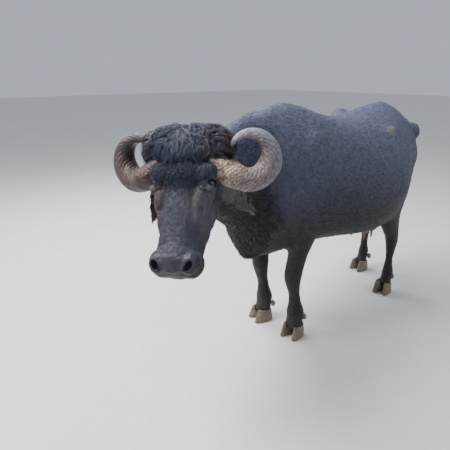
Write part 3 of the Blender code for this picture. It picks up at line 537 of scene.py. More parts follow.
def trunk_colours(places, normals):
    """Painted bluish sheen on the top and upper sides with painted highlights on withers and rump, painted
    shade in a hollow of the left side, dark brown throat and chest, belly and limbs near black as painted
    shade.
    """
    local = places - np.array(SHIFT)
    height = local[:, 2]
    upward = normals[:, 2]
    colours = np.tile(np.array(CHARCOAL), (len(places), 1))
    # Painted sheen: higher, upward-facing sides and tops lean to lighter bluish tones
    flank = ramp(upward, -0.45, 0.35) * ramp(height, 0.66, 1.00)
    colours = lean_to(colours, STEEL, flank * 0.72)
    colours = lean_to(colours, SHEEN_SLATE, np.clip(upward, 0.0, 1.0) ** 1.3 * 0.85)
    # Painted highlights on the withers and rump
    withers = near(places, Vector((0.17, -0.02, 1.10)) + SHIFT, 0.26)
    rump = near(places, Vector((0.25, 0.68, 1.12)) + SHIFT, 0.30)
    colours = lean_to(colours, SHEEN_SLATE, (withers + rump) * 0.50)
    # Painted shade: a hollow on the left side is pulled back to charcoal
    hollow = near(places, Vector((0.28, 0.18, 0.95)) + SHIFT, 0.22)
    colours = lean_to(colours, CHARCOAL, hollow * 0.5)
    # Painted shade: down-facing surfaces under the body darken to near black
    under = ramp(-upward, -0.10, 0.70) * ramp(height, 0.35, 0.5)
    colours = lean_to(colours, NEAR_BLACK, under * 0.80)
    throat = near(places, Vector((0.05, -0.46, 0.86)) + SHIFT, 0.34) * (1 - ramp(height, 0.95, 1.15))
    colours = lean_to(colours, BROWN, throat * 1.3)
    chest = near(places, Vector((0.03, -0.40, 0.66)) + SHIFT, 0.30)
    colours = lean_to(colours, BROWN, chest * 0.9)
    # Painted shade: the lower limbs darken to near black
    limb = 1 - ramp(height, 0.50, 0.72)
    colours = lean_to(colours, NEAR_BLACK, limb * 0.92)
    return lean_to(colours, DUST, (1 - ramp(height, 0.08, 0.20)) * 0.30)


def face_colours(colours, places, head, on_head):
    """Dark blue forehead and bridge, grey-brown cheeks, pale lower lids and a painted highlight at each eye's
    inner corner.
    """
    left, out, down = head[:, 0], head[:, 1], head[:, 2]
    face = on_head & (down > 0.10) & (np.abs(left) < 0.13)
    forehead = face * (1 - ramp(np.abs(left), 0.05, 0.10))
    colours = lean_to(colours, FOREHEAD_BLUE, forehead * 0.7)
    bridge = face * (1 - ramp(np.abs(left - 0.002), 0.015, 0.055)) * ramp(down, 0.22, 0.30)
    bridge *= 1 - ramp(down, 0.46, 0.50)
    colours = lean_to(colours, BRIDGE_BLUE, bridge * ramp(out, -0.06, 0.0) * 0.85)
    cheek = near(places, head_point(0.085, -0.07, 0.300), 0.15) * on_head * (down > 0.15)
    colours = lean_to(colours, TAUPE, ramp(cheek, 0.05, 0.6) * 0.90)
    slope = near(places, head_point(0.066, -0.018, 0.262), 0.055) * face
    colours = lean_to(colours, CHEEK_RIDGE, slope * 0.9)
    dark = near(places, head_point(0.036, 0.004, 0.250), 0.045) * face
    colours = lean_to(colours, NEAR_BLACK, dark * 0.8)
    far_side = face * ramp(-left, 0.035, 0.085) * ramp(down, 0.17, 0.23)
    colours = lean_to(colours, FAR_CHEEK, far_side * 0.75)
    colours = lean_to(colours, RUST, near(places, head_point(-0.105, -0.02, 0.240), 0.060) * 0.65)
    colours = lean_to(colours, DUST, near(places, head_point(-0.112, -0.02, 0.168), 0.045) * 0.5)
    for side, share in ((1, 0.85), (-1, 0.65)):
        brow = near(places, head_point(0.100 * side, 0.006, 0.150), 0.055)
        colours = lean_to(colours, BROW_BROWN, brow * 0.55)
        rim = near(places, head_point(0.112 * side, -0.004, 0.222), 0.021)
        colours = lean_to(colours, ASH, ramp(rim, 0.0, 0.6) * share)
        # Painted highlight: a pale tan spot for the wet glint at the inner corner of the eye
        corner = near(places, head_point(0.088 * side, 0.012, 0.212), 0.011)
        colours = lean_to(colours, CORNER_GLINT_TAN, corner * 0.8)
    return colours


def muzzle_colours(colours, places, head, on_head):
    """Mauve wet pad, near-black lips with painted shadow along the muzzle's lower edge, near-black wings of
    the nose, nostrils black as painted shade of their holes.
    """
    out, down = head[:, 1], head[:, 2]
    pad = on_head * ramp(down, 0.478, 0.506) * ramp(out, -0.060, -0.022)
    colours = lean_to(colours, MAUVE, pad * 0.85)
    lip = on_head * ramp(down, 0.42, 0.50) * (1 - ramp(out, -0.062, -0.036))
    # The lips' own near-black tone; this lower band is also painted shadow under the muzzle
    lip = np.maximum(lip, on_head * ramp(down, 0.540, 0.556))
    colours = lean_to(colours, NEAR_BLACK, lip * 0.95)
    wing = 0
    for side in (1, -1):
        wing = wing + near(places, head_point(0.082 * side, -0.018, 0.515), 0.045)
    colours = lean_to(colours, NEAR_BLACK, wing * 1.1)
    # Painted shade: the nostril slits are painted black for the shade inside the holes
    gap = nostril_gap(head)
    colours = lean_to(colours, INK, on_head * (1 - ramp(gap, 0.004, 0.009)))
    wet = np.clip(pad * (1 - wing) * (1 - lip) * 0.9, 0, 1)
    return colours, wet


def crown_colours(colours, head, on_head):
    """Steel-blue crown with a pale streak up the middle, rusty on the left."""
    left, out, down = head[:, 0], head[:, 1], head[:, 2]
    crown = on_head * (1 - ramp(down, 0.12, 0.20)) * ramp(out, -0.19, -0.10)
    colours = lean_to(colours, STEEL, crown * 0.60)
    streak = crown * (1 - ramp(np.abs(left + 0.004), 0.004, 0.034)) * (1 - ramp(down, 0.00, 0.13))
    colours = lean_to(colours, ASH, streak * 0.75)
    warm = crown * ramp(left, 0.030, 0.10) * (1 - ramp(down, 0.05, 0.14))
    colours = lean_to(colours, RUST, warm * 0.50)
    edge = crown * ramp(np.abs(left), 0.125, 0.155)
    return lean_to(colours, DUST, edge * 0.4)


def ear_and_udder_colours(colours, places, head):
    """Greyish left ear, dark brown right ear and pink udder."""
    away = np.linalg.norm(head[:, :2] * [1, 0.6], axis=1)
    for name, tone, share in EAR_TONES:
        low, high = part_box(name)
        inside = np.all((places > np.array(low) - 0.004) & (places < np.array(high) + 0.004), axis=1)
        colours = lean_to(colours, tone, inside * ramp(away, 0.13, 0.19) * share)
    low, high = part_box("udder")
    bag = np.all((places > np.array(low) - 0.006) & (places < np.array(high)), axis=1)
    bag = bag * (1 - ramp(places[:, 2], low.z + 0.09, high.z - 0.03))
    return lean_to(colours, PINK, bag * 0.85)


def markings_and_painted_light(places, normals):
    """Colour of the coat at each place, painted sheen and shade included, and how wet the skin is there."""
    head = to_head(places)
    on_head = near(places, head_point(0, -0.07, 0.25), 0.60) > 0.02
    on_head &= (head[:, 2] > -0.12) & (head[:, 1] > -0.235)
    colours = trunk_colours(places, normals)
    colours = face_colours(colours, places, head, on_head)
    colours, wet = muzzle_colours(colours, places, head, on_head)
    colours = crown_colours(colours, head, on_head)
    return ear_and_udder_colours(colours, places, head), wet


def nostril_gap(head):
    """Distance to the comma of the nearer nostril, in the head frame."""
    gaps = [line_gap(head, nostril_line(side)) for side in (1, -1)]
    return np.minimum(*gaps) * HEAD_SCALE


def nostril_line(side):
    """The comma of a nostril: round at the front, a slit running out and up."""
    rows = [
        (0.047, 0.004, 0.545), (0.054, 0.010, 0.538), (0.063, 0.009, 0.527),
        (0.073, 0.002, 0.516), (0.081, -0.010, 0.508),
    ]
    return [(across * side, out, down) for across, out, down in rows]


# Pieces


def flesh_object():
    """All flesh nodes and the core of the crown in one mesh."""
    whole = bmesh.new()
    for node in FLESH:
        part = clean_copy(node)
        mesh = bpy.data.meshes.new("part")
        part.to_mesh(mesh)
        part.free()
        whole.from_mesh(mesh)
        bpy.data.meshes.remove(mesh)
    axes = Matrix((HEAD_LEFT, HEAD_OUT, HEAD_DOWN)).transposed()
    cut = CROWN_DEPTH / HEAD_SCALE
    for left, out, down, radii in (*CROWN_LUMPS, BROW_FILL):
        size = Matrix.Diagonal([(radius - cut) * HEAD_SCALE for radius in radii])
        place = Matrix.Translation(head_point(left, out, down)) @ (axes @ size).to_4x4()
        bmesh.ops.create_icosphere(whole, subdivisions=4, radius=1.0, matrix=place)
    mesh = bpy.data.meshes.new("flesh")
    whole.to_mesh(mesh)
    whole.free()
    return object_from("flesh", mesh)


def head_share(places):
    """1 on the head and ears, 0 on the body."""
    head = to_head(places)
    away = line_gap(head, [(0, -0.10, 0.04), (0, -0.07, 0.52)])
    return 1.0 - ramp(away, 0.17, 0.26)


def build_skin(settings):
    """One skin over all flesh nodes, with folds, lids and lips worked in."""
    flesh = flesh_object()
    remesh = flesh.modifiers.new("skin", "REMESH")
    remesh.mode = "VOXEL"
    remesh.voxel_size = settings.voxel
    mesh = evaluated_mesh(flesh)
    bpy.data.objects.remove(flesh)
    places = points_of(mesh)
    edges = np.empty(len(mesh.edges) * 2, np.int32)
    mesh.edges.foreach_get("vertices", edges)
    fine = head_share(places)
    legs = 1.0 - ramp(places[:, 2], 0.45, 0.62)
    crease = near(places, head_point(0, 0.0, 0.125), 0.16)
    strength = np.clip(1.0 - 0.80 * fine + ramp(crease, 0.0, 0.5), 0.0, 1.0)
    places = smooth_mesh(places, edges.reshape(-1, 2), strength, settings.smoothing)
    set_points(mesh, places)
    skin = object_from("skin", mesh)
    group = skin.vertex_groups.new(name="thin")
    weights = np.clip(1.0 - fine * 0.96 - legs * 0.30, 0.02, 1.0)
    levels = np.round(weights * 20).astype(int)
    for level in np.unique(levels):
        group.add(np.nonzero(levels == level)[0].tolist(), level / 20.0, "REPLACE")
    triangles = sum(len(face.vertices) - 2 for face in mesh.polygons)
    thin = skin.modifiers.new("thin", "DECIMATE")
    thin.ratio = min(1.0, settings.triangles / triangles)
    thin.vertex_group = "thin"
    thin.vertex_group_factor = 6.0
    thin.use_collapse_triangulate = True
    slim = evaluated_mesh(skin)
    skin.modifiers.clear()
    skin.vertex_groups.clear()
    skin.data = slim
    slim.name = "skin"
    places = points_of(slim)
    normals = normals_of(slim)
    fine = head_share(places)
    depth = settings.depth * (1.0 - 0.65 * fine)
    places = places - normals * depth[:, None]
    places = work_face(places, normals)
    places = work_body(places, normals)
    places[:, 2] = np.maximum(places[:, 2], 0.004)
    set_points(slim, places)
    normals = normals_of(slim)
    colours, wet = markings_and_painted_light(places, normals)
    tree = skin_tree(skin)
    for across, down, reach in MUD_SPOTS:
        patch = near(places, seen_spot(tree, across, down), reach)
        colours = lean_to(colours, MUD, ramp(patch, 0.1, 0.7) * 0.75)
    paint(slim, "marking_and_light", colours)
    mark(slim, "wet", wet)
    return settle_piece(skin, kept_material("hide", hide_material), "coat", *FLESH)


def raise_line(places, normals, head, points, width, height):
    """Raises or sinks the skin along a line given in the head frame."""
    gap = line_gap(head, points) * HEAD_SCALE
    lift = height * np.exp(-(gap / width) ** 2)
    lift[gap > width * 3.2] = 0.0
    return places + normals * lift[:, None]


def fold_brow(places, normals, head, side):
    """Folds above the eye and a bag under it."""
    eye = np.array((EYE_SEAT[0] * side, EYE_SEAT[1], EYE_SEAT[2]))
    for up_by, width, height in ((0.034, 0.0050, 0.0042), (0.047, 0.0055, 0.0034)):
        line = [
            eye + (-0.034 * side, 0.034, -0.004),
            eye + (-0.020 * side, 0.036, -up_by * 0.70),
            eye + (0.002 * side, 0.026, -up_by),
            eye + (0.016 * side, 0.006, -up_by * 0.95),
        ]
        places = raise_line(places, normals, head, line, width, height)
        dip = [point + np.array((0, 0, -0.0075)) for point in line]
        places = raise_line(places, normals, head, dip, 0.0035, -0.0024)
    line = [
        eye + (-0.026 * side, 0.030, 0.022),
        eye + (0.0, 0.026, 0.034),
        eye + (0.014 * side, 0.008, 0.034),
    ]
    places = raise_line(places, normals, head, line, 0.0060, 0.0034)
    dip = [point + np.array((0, 0, 0.010)) for point in line]
    return raise_line(places, normals, head, dip, 0.0035, -0.0022)


def edge_nostril(places, normals, head, side):
    """A raised rim round the nostril and a sunk slit in it."""
    ring = []
    for turn in np.linspace(0, 2 * math.pi, 13):
        across = NOSTRIL[0] * side + 0.021 * math.cos(turn)
        ring.append(np.array((across, NOSTRIL[1] - 0.004, NOSTRIL[2] + 0.024 * math.sin(turn))))
    places = raise_line(places, normals, head, ring, 0.0055, 0.0030)
    return raise_line(places, normals, head, nostril_line(side), 0.0050, -0.0070)


def wrinkle_nose(places, normals, head):
    """Wrinkles across the nose above its pad."""
    for row in range(5):
        level = 0.452 + row * 0.0095
        line = [
            (-0.052, -0.022, level + 0.010), (-0.025, 0.004, level),
            (0.025, 0.004, level), (0.052, -0.022, level + 0.010),
        ]
        places = raise_line(places, normals, head, line, 0.0030, 0.0030)
        line = [(x, y, z + 0.0047) for x, y, z in line]
        places = raise_line(places, normals, head, line, 0.0024, -0.0024)
    return places


def part_lips(places, normals, head):
    """The sunk line of the mouth, with swollen lips beside it."""
    half = [(0.082, -0.098, 0.440), (0.098, -0.092, 0.480), (0.100, -0.086, 0.520), (0.064, -0.081, 0.556)]
    line = half + [(0, -0.079, 0.570)] + [(-x, y, z) for x, y, z in reversed(half)]
    gap = line_gap(head, line) * HEAD_SCALE
    places = places - normals * (0.0042 * np.exp(-(gap / 0.0035) ** 2))[:, None]
    return places + normals * (0.0022 * np.exp(-((gap - 0.011) / 0.005) ** 2))[:, None]


def work_face(places, normals):
    """Brow folds, nostril rims, nose wrinkles and the line of the mouth."""
    head = to_head(places)
    for side in (1, -1):
        places = fold_brow(places, normals, head, side)
        places = edge_nostril(places, normals, head, side)
    places = wrinkle_nose(places, normals, head)
    return part_lips(places, normals, head)


def work_body(places, normals):
    """Loose folds of the throat, neck and flank."""
    local = places - np.array(SHIFT)
    folds = list(NECK_FOLDS)
    for side in (1, -1):
        for line, width, height in SIDE_FOLDS:
            folds.append(([(x * side, y, z) for x, y, z in line], width, height))
    for line, width, height in folds:
        gap = line_gap(local, line)
        lift = height * np.exp(-(gap / width) ** 2)
        lift = lift - height * 0.7 * np.exp(-((gap - width * 2.1) / width) ** 2)
        lift[gap > width * 5] = 0.0
        places = places + normals * lift[:, None]
    return places


def skin_tree(skin):
    mesh = skin.data
    corners = faces_of(mesh)
    return BVHTree.FromPolygons([vertex.co for vertex in mesh.vertices], corners.tolist())


def build_eyes():
    """Glossy eyeballs, and lids with a rolled dark rim round each."""
    made = []
    for label, side in (("left", 1), ("right", -1)):
        centre = head_point(EYE_SEAT[0] * side, EYE_SEAT[1], EYE_SEAT[2])
        look = HEAD_OUT * math.sin(EYE_FORWARD) + HEAD_LEFT * side * math.cos(EYE_FORWARD)
        look = (look + Vector((0, 0, 0.02))).normalized()
        ahead = (HEAD_OUT - look * HEAD_OUT.dot(look)).normalized()
        up = look.cross(ahead).normalized()
        if up.dot(HEAD_DOWN) > 0:
            up = -up
        axes = Matrix((ahead, up, look)).transposed()
        bm = bmesh.new()
        place = Matrix.Translation(centre) @ axes.to_4x4()
        bmesh.ops.create_uvsphere(bm, u_segments=48, v_segments=32, radius=EYE_RADIUS, matrix=place)
        mesh = bpy.data.meshes.new("eye")
        bm.to_mesh(mesh)
        bm.free()
        rays = (points_of(mesh) - np.array(centre)) / EYE_RADIUS
        x, y, z = rays @ np.array(ahead), rays @ np.array(up), rays @ np.array(look)
        wide = np.where(z > 0, np.sqrt(x * x + y * y), 2.0)
        mark(mesh, "iris", wide)
        mark(mesh, "pupil", np.where(z > 0, np.sqrt((x / 0.38) ** 2 + (y / 0.20) ** 2), 9.0))
        ball = object_from("eyeball_" + label, mesh)
        made.append(settle_piece(ball, kept_material("eyeball", eye_material), "eye", "eye_" + label))
        made.append(build_lids("eyelids_" + label, centre, look, ahead, up, side))
    return made


def build_lids(name, centre, look, ahead, up, side):
    """A sheet round the eye: under the skin outside, a rolled rim inside."""
    steps = 72
    rows = [
        (1.00, 0.9985), (1.00, 1.035), (1.03, 1.085), (1.12, 1.120), (1.26, 1.120),
        (1.44, 1.060), (1.62, 0.960), (1.85, 0.800),
    ]
    rings = []
    for grow, reach in rows:
        ring = []
        for step in range(steps):
            turn = 2 * math.pi * step / steps
            x = math.cos(turn)
            y = math.sin(turn)
            # Almond: long to the front, the upper lid higher than the lower
            high = 0.62 if y > 0 else 0.52
            across = 0.94 * x * grow
            rise = high * y * (abs(math.sin(turn)) ** 0.25) * grow - 0.06 * x
            point = Vector((across, rise, 0.0))
            span = point.length
            depth = math.sqrt(max(0.0, 1.0 - min(span, 0.985) ** 2))
            spot = ahead * across + up * rise + look * depth
            spot = spot.normalized() * EYE_RADIUS * reach * (1.0 + 0.02 * math.sin(5 * turn))
            ring.append(centre + spot)
        rings.append(ring)
    places = np.array([list(point) for ring in rings for point in ring])
    faces = []
    for row in range(len(rings) - 1):
        for step in range(steps):
            after = (step + 1) % steps
            a, b = row * steps + step, row * steps + after
            c, d = a + steps, b + steps
            faces += [(a, b, d), (a, d, c)] if side > 0 else [(a, d, b), (a, c, d)]
    mesh = mesh_from(name, places, np.array(faces))
    lids = object_from(name, mesh)
    normals = normals_of(mesh)
    colours, wet = markings_and_painted_light(places, normals)
    first = np.arange(len(places)) < steps * 3
    colours[first] = np.array(INK) * 1.6
    below = (places - np.array(centre)) @ np.array(up) < -0.008
    band = (np.arange(len(places)) >= steps * 3) & (np.arange(len(places)) < steps * 5) & below
    colours[band] = np.array(ASH) * 0.9
    wet[:] = 0.0
    wet[first] = 1.0
    paint(mesh, "marking_and_light", colours)
    mark(mesh, "wet", wet)
    return settle_piece(lids, kept_material("hide", hide_material), "coat")


def build_horns():
    """Finer horns on the solids' own shape, numbered from tip to root."""
    made = []
    for label in ("left", "right"):
        bm = clean_copy("horn_" + label)
        bmesh.ops.subdivide_edges(bm, edges=bm.edges[:], cuts=1, use_grid_fill=True, smooth=0.6)
        mesh = bpy.data.meshes.new("horn")
        bm.to_mesh(mesh)
        bm.free()
        horn = object_from("horn_surface_" + label, mesh)
        finer = horn.modifiers.new("finer", "SUBSURF")
        finer.levels = 1
        finer.render_levels = 1
        fine = evaluated_mesh(horn)
        horn.modifiers.clear()
        horn.data = fine
        places = points_of(fine)
        edges = np.empty(len(fine.edges) * 2, np.int32)
        fine.edges.foreach_get("vertices", edges)
        edges = edges.reshape(-1, 2)
        root = head_point(*HORN_ROOT) if label == "left" else head_point(-HORN_ROOT[0], *HORN_ROOT[1:])
        along = walk_length(places, edges, root)
        mark(fine, "along", 1.0 - along / along.max())
        # The right horn is marked 0 for painted shade
        mark(fine, "shade", np.full(len(places), 1.0 if label == "left" else 0.0))
        made.append(settle_piece(horn, kept_material("horn_surface", horn_material), "horn", "horn_" + label))
    return made


def walk_length(places, edges, start):
    """Length along the mesh from the vertex nearest start."""
    first = int(np.argmin(np.linalg.norm(places - np.array(start), axis=1)))
    ways = [[] for _ in range(len(places))]
    sizes = np.linalg.norm(places[edges[:, 0]] - places[edges[:, 1]], axis=1)
    for (one, two), size in zip(edges.tolist(), sizes.tolist()):
        ways[one].append((two, size))
        ways[two].append((one, size))
    best = np.full(len(places), 1e9)
    best[first] = 0.0
    heap = [(0.0, first)]
    while heap:
        far, here = heapq.heappop(heap)
        if far > best[here]:
            continue
        for there, size in ways[here]:
            reach = far + size
            if reach < best[there]:
                best[there] = reach
                heapq.heappush(heap, (reach, there))
    best[best > 1e8] = 0.0
    return best


def build_hooves():
    """Claws and dewclaws, rounded a little and joined as one piece."""
    whole = bmesh.new()
    nodes = []
    for foot in FEET:
        for label in ("outer", "inner"):
            for kind in ("claw_", "dewclaw_"):
                nodes.append(kind + foot + "_" + label)
                part = clean_copy(nodes[-1])
                sharp = [edge for edge in part.edges if edge.is_manifold and edge.calc_face_angle() > 0.7]
                bmesh.ops.bevel(
                    part, geom=sharp, offset=0.0022, offset_type="OFFSET", segments=2,
                    profile=0.5, material=-1, affect="EDGES", clamp_overlap=True,
                )
                mesh = bpy.data.meshes.new("part")
                part.to_mesh(mesh)
                part.free()
                whole.from_mesh(mesh)
                bpy.data.meshes.remove(mesh)
    mesh = bpy.data.meshes.new("hooves")
    whole.to_mesh(mesh)
    whole.free()
    hooves = object_from("hooves", mesh)
    return settle_piece(hooves, kept_material("hoof_surface", hoof_material), "hoof", *nodes)


# Coat


def unwrap_cage():
    """A light copy of the skin with its own unwrap, to place coat patches on."""
    cage = bpy.data.objects.get("coat_cage")
    if cage is not None:
        return cage
    skin = bpy.data.objects["skin"]
    cage = object_from("coat_cage", skin.data.copy())
    cage.hide_render = True
    thin = cage.modifiers.new("thin", "DECIMATE")
    thin.ratio = 0.05
    cage.data = evaluated_mesh(cage)
    cage.modifiers.clear()
    bpy.ops.object.select_all(action="DESELECT")
    cage.select_set(True)
    bpy.context.view_layer.objects.active = cage
    bpy.ops.object.mode_set(mode="EDIT")
    bpy.ops.mesh.select_all(action="SELECT")
    bpy.ops.uv.smart_project(angle_limit=math.radians(66), island_margin=0.004)
    bpy.ops.object.mode_set(mode="OBJECT")
    return cage


def patch_places(roots):
    """Where each root lies on the cage's unwrap."""
    mesh = unwrap_cage().data
    corners = faces_of(mesh)
    loops = np.empty(len(mesh.loop_triangles) * 3, np.int32)
    mesh.loop_triangles.foreach_get("loops", loops)
    flat = np.empty(len(mesh.loops) * 2, np.float32)
    mesh.uv_layers.active.data.foreach_get("uv", flat)
    uv = flat.reshape(-1, 2)[loops].reshape(-1, 3, 2)
    points = points_of(mesh)
    tree = BVHTree.FromPolygons(points.tolist(), corners.tolist())
    spots = np.empty((len(roots), 3))
    faces = np.empty(len(roots), int)
    for index, root in enumerate(roots.tolist()):
        spot, _, face, _ = tree.find_nearest(root)
        spots[index] = spot
        faces[index] = face
    a, b, c = (points[corners[faces, corner]] for corner in range(3))
    first, second, third = b - a, c - a, spots - a
    d00 = np.sum(first * first, 1)
    d01 = np.sum(first * second, 1)
    d11 = np.sum(second * second, 1)
    d20 = np.sum(third * first, 1)
    d21 = np.sum(third * second, 1)
    base = np.maximum(d00 * d11 - d01 * d01, 1e-18)
    v = np.clip((d11 * d20 - d01 * d21) / base, 0, 1)
    w = np.clip((d00 * d21 - d01 * d20) / base, 0, 1)
    u = np.clip(1 - v - w, 0, 1)
    return uv[faces, 0] * u[:, None] + uv[faces, 1] * v[:, None] + uv[faces, 2] * w[:, None]


def build_strands(name, spines, ups, widths, thicks, colours, taper):
    """Solid tapered strands: three-sided rings along each spine and a point."""
    count, stops, _ = spines.shape
    rings = stops - 1
    tangents = np.empty((count, rings, 3))
    tangents[:, 0] = spines[:, 1] - spines[:, 0]
    for ring in range(1, rings):
        tangents[:, ring] = spines[:, ring + 1] - spines[:, ring - 1]
    tangents /= np.maximum(np.linalg.norm(tangents, axis=2, keepdims=True), 1e-9)
    across = np.cross(tangents, ups[:, :rings])
    across /= np.maximum(np.linalg.norm(across, axis=2, keepdims=True), 1e-9)
    rise = np.cross(across, tangents)
    shape = np.array(taper[:rings])
    wide = (widths[:, None] * shape)[:, :, None]
    high = (thicks[:, None] * shape)[:, :, None]
    body = spines[:, :rings]
    sunk = body - rise * high * 0.5
    corners = np.stack([sunk + across * wide, body + rise * high, sunk - across * wide], axis=2)
    size = rings * 3 + 1
    points = np.concatenate([corners.reshape(count, rings * 3, 3), spines[:, -1:]], axis=1)
    pattern = []
    for ring in range(rings - 1):
        low, high_ring = ring * 3, ring * 3 + 3
        for corner in range(3):
            after = (corner + 1) % 3
            pattern.append((low + corner, low + after, high_ring + after))
            pattern.append((low + corner, high_ring + after, high_ring + corner))
    last = (rings - 1) * 3
    for corner in range(3):
        pattern.append((last + corner, last + (corner + 1) % 3, size - 1))
    pattern.append((2, 1, 0))
    pattern = np.array(pattern)
    faces = (pattern[None] + (np.arange(count) * size)[:, None, None]).reshape(-1, 3)
    mesh = mesh_from(name, points.reshape(-1, 3), faces)
    # Root to tip, darker at the root
    shade = np.ones((size, 1))
    shade[:3] = 0.55
    full = (colours[:, None] * shade[None]).reshape(-1, 3)
    paint(mesh, "marking_and_light", full)
    patch = patch_places(spines[:, 0])
    local = np.zeros((size, 2))
    for ring in range(rings):
        for corner in range(3):
            local[ring * 3 + corner] = (ring / rings, corner / 2)
    local[-1] = (1.0, 0.5)
    uv = patch[:, None] + (local[None] - 0.5) * 0.003
    layer = mesh.uv_layers.new(name="OFBake")
    ends = np.empty(len(mesh.loops), np.int32)
    mesh.loops.foreach_get("vertex_index", ends)
    layer.data.foreach_set("uv", uv.reshape(-1, 2)[ends].astype(np.float32).ravel())
    return object_from(name, mesh)


def walk_spines(tree, starts, heads, length, lifts, fall, twist):
    """Spines that walk over the skin from starts towards heads."""
    stops = len(lifts)
    spines = np.empty((len(starts), stops, 3))
    ups = np.empty((len(starts), stops, 3))
    for index, start in enumerate(starts):
        spot, normal, _, _ = tree.find_nearest(start)
        way = Vector(heads[index])
        for stop in range(stops):
            way = way + Vector((0, 0, -fall))
            way = (way - normal * way.dot(normal)).normalized()
            spines[index, stop] = spot + normal * lifts[stop][index]
            ups[index, stop] = normal
            way = Matrix.Rotation(twist[index], 3, normal) @ way
            spot, normal, _, _ = tree.find_nearest(spot + way * (length[index] / (stops - 1)))
    return spines, ups


def pick_roots(chance, count, weight, places, normals, corners):
    """Seeded roots on a mesh, as many per area as weight says, and the way up there."""
    picks = chance.choice(len(weight), count, p=weight / weight.sum())
    first = np.sqrt(chance.uniform(0, 1, count))
    second = chance.uniform(0, 1, count)
    mix = np.stack([1 - first, first * (1 - second), first * second], axis=1)[:, :, None]
    rows = corners[picks]
    roots = (places[rows] * mix).sum(1)
    ups = (normals[rows] * mix).sum(1)
    ups /= np.maximum(np.linalg.norm(ups, axis=1, keepdims=True), 1e-9)
    return roots, ups


def skin_faces():
    """Points, normals, triangles, middles and areas of the skin."""
    mesh = bpy.data.objects["skin"].data
    places = points_of(mesh)
    corners = faces_of(mesh)
    a, b, c = (places[corners[:, corner]] for corner in range(3))
    area = np.linalg.norm(np.cross(b - a, c - a), axis=1) / 2
    return places, normals_of(mesh), corners, (a + b + c) / 3, area


def build_crown(settings):
    """Hair of the crown: clumps that leave a whorl on the poll."""
    chance = np.random.RandomState(settings.seed)
    tree = skin_tree(bpy.data.objects["skin"])
    middle = head_point(0.0, -0.045, 0.030)
    whorl = head_point(*CROWN_WHORL)
    axis = (whorl - middle).normalized()
    across = axis.cross(HEAD_LEFT).normalized()
    side = across.cross(axis)
    starts, heads, short = [], [], []
    clumps = settings.clumps
    for index in range(clumps):
        lean = math.acos(1 - (index + 0.5) / clumps * 1.46)
        spin = index * 2.39996 + chance.uniform(-0.2, 0.2)
        ray = axis * math.cos(lean) + (side * math.cos(spin) + across * math.sin(spin)) * math.sin(lean)
        spot = tree.ray_cast(middle + ray * 0.5, -ray)[0]
        if spot is None:
            continue
        left, out, down = to_head(np.array([spot]))[0]
        if out < -0.175 or down > 0.160:
            continue
        away = (spot - whorl).normalized()
        turned = Vector(chance.normal(0, 0.30, 3))
        starts.append(spot - away * 0.018)
        heads.append(away + turned)
        short.append(down)
    number = len(starts)
    short = 1.0 - 0.40 * ramp(np.array(short), 0.060, 0.160)
    length = chance.uniform(0.050, 0.088, number) * short
    lift = chance.uniform(0.7, 1.25, number) * (0.25 + 0.75 * short)
    lifts = [lift * value for value in (0.001, 0.010, 0.017, 0.021, 0.020, 0.016)]
    twist = chance.normal(0, 0.15, number)
    spines, ups = walk_spines(tree, starts, heads, length, lifts, 0.10, twist)
    # Strands of a clump start apart and draw together at its tip
    many = settings.strands
    total = number * many
    base = np.repeat(spines, many, axis=0)
    over = np.repeat(ups, many, axis=0)
    along = np.gradient(base, axis=1)
    wide = np.cross(along, over)
    wide /= np.maximum(np.linalg.norm(wide, axis=2, keepdims=True), 1e-9)
    spread = chance.normal(0, 0.0085, (total, 1, 1))
    rise = chance.normal(0, 0.0026, (total, 1, 1))
    drift = chance.normal(0, 0.0045, (total, 1, 1))
    stops = np.linspace(0, 1, base.shape[1])[None, :, None]
    close = 1.0 - 0.62 * stops
    base = base + wide * (spread * close + drift * stops ** 2) + over * rise * (0.3 + stops)
    trim = chance.uniform(0.72, 1.10, (total, 1, 1))
    base = base[:, :1] + (base - base[:, :1]) * trim
    widths = chance.uniform(0.0009, 0.0018, total)
    colours, _ = markings_and_painted_light(base[:, 1], over[:, 1])
    tones = np.repeat(chance.uniform(0.70, 1.35, (number, 1)), many, axis=0)
    colours *= tones * chance.uniform(0.5, 1.7, (total, 1))
    taper = (1.0, 1.0, 0.9, 0.75, 0.5)
    hair = build_strands("crown_hair", base, over, widths, widths * 0.55, colours, taper)
    return settle_piece(hair, kept_material("coat_hair", coat_material), "coat_warm", "crown")


def build_forehead(settings):
    """Hair that shortens from the crown down to between the eyes."""
    chance = np.random.RandomState(settings.seed + 3)
    places, normals, corners, middle, area = skin_faces()
    head = to_head(middle)
    left, out, down = head[:, 0], head[:, 1], head[:, 2]
    inside = ramp(down, 0.020, 0.075) * (1 - ramp(down, 0.190, 0.270))
    inside = inside * (1 - ramp(np.abs(left), 0.085, 0.125))
    facing = normals[corners].mean(axis=1) @ np.array(HEAD_OUT)
    inside = inside * (out > -0.07) * (facing > 0.1)
    count = settings.forehead
    roots, ups = pick_roots(chance, count, area * inside, places, normals, corners)
    head = to_head(roots)
    flow = np.array(HEAD_DOWN) + np.array(HEAD_LEFT) * (head[:, 0] * 5.0)[:, None]
    flow = flow + chance.normal(0, 0.24, (count, 3))
    share = 1.0 - ramp(head[:, 2], 0.10, 0.24)
    length = (0.010 + 0.036 * share) * chance.uniform(0.7, 1.2, count)
    lift = (0.0016 + 0.0085 * share) * chance.uniform(0.5, 1.3, count)
    lifts = [lift * value for value in (-0.2, 0.8, 1.1, 0.8)]
    twist = chance.normal(0, 0.12, count)
    tree = skin_tree(bpy.data.objects["skin"])
    spines, over = walk_spines(tree, roots.tolist(), flow.tolist(), length, lifts, 0.0, twist)
    widths = (0.00055 + 0.0006 * share) * chance.uniform(0.8, 1.3, count)
    colours, _ = markings_and_painted_light(roots, ups)
    colours *= chance.uniform(0.5, 1.9, (count, 1))
    hair = build_strands("forehead_hair", spines, over, widths, widths * 0.6, colours, (1.0, 0.95, 0.7))
    return settle_piece(hair, kept_material("coat_hair", coat_material), "coat_warm")


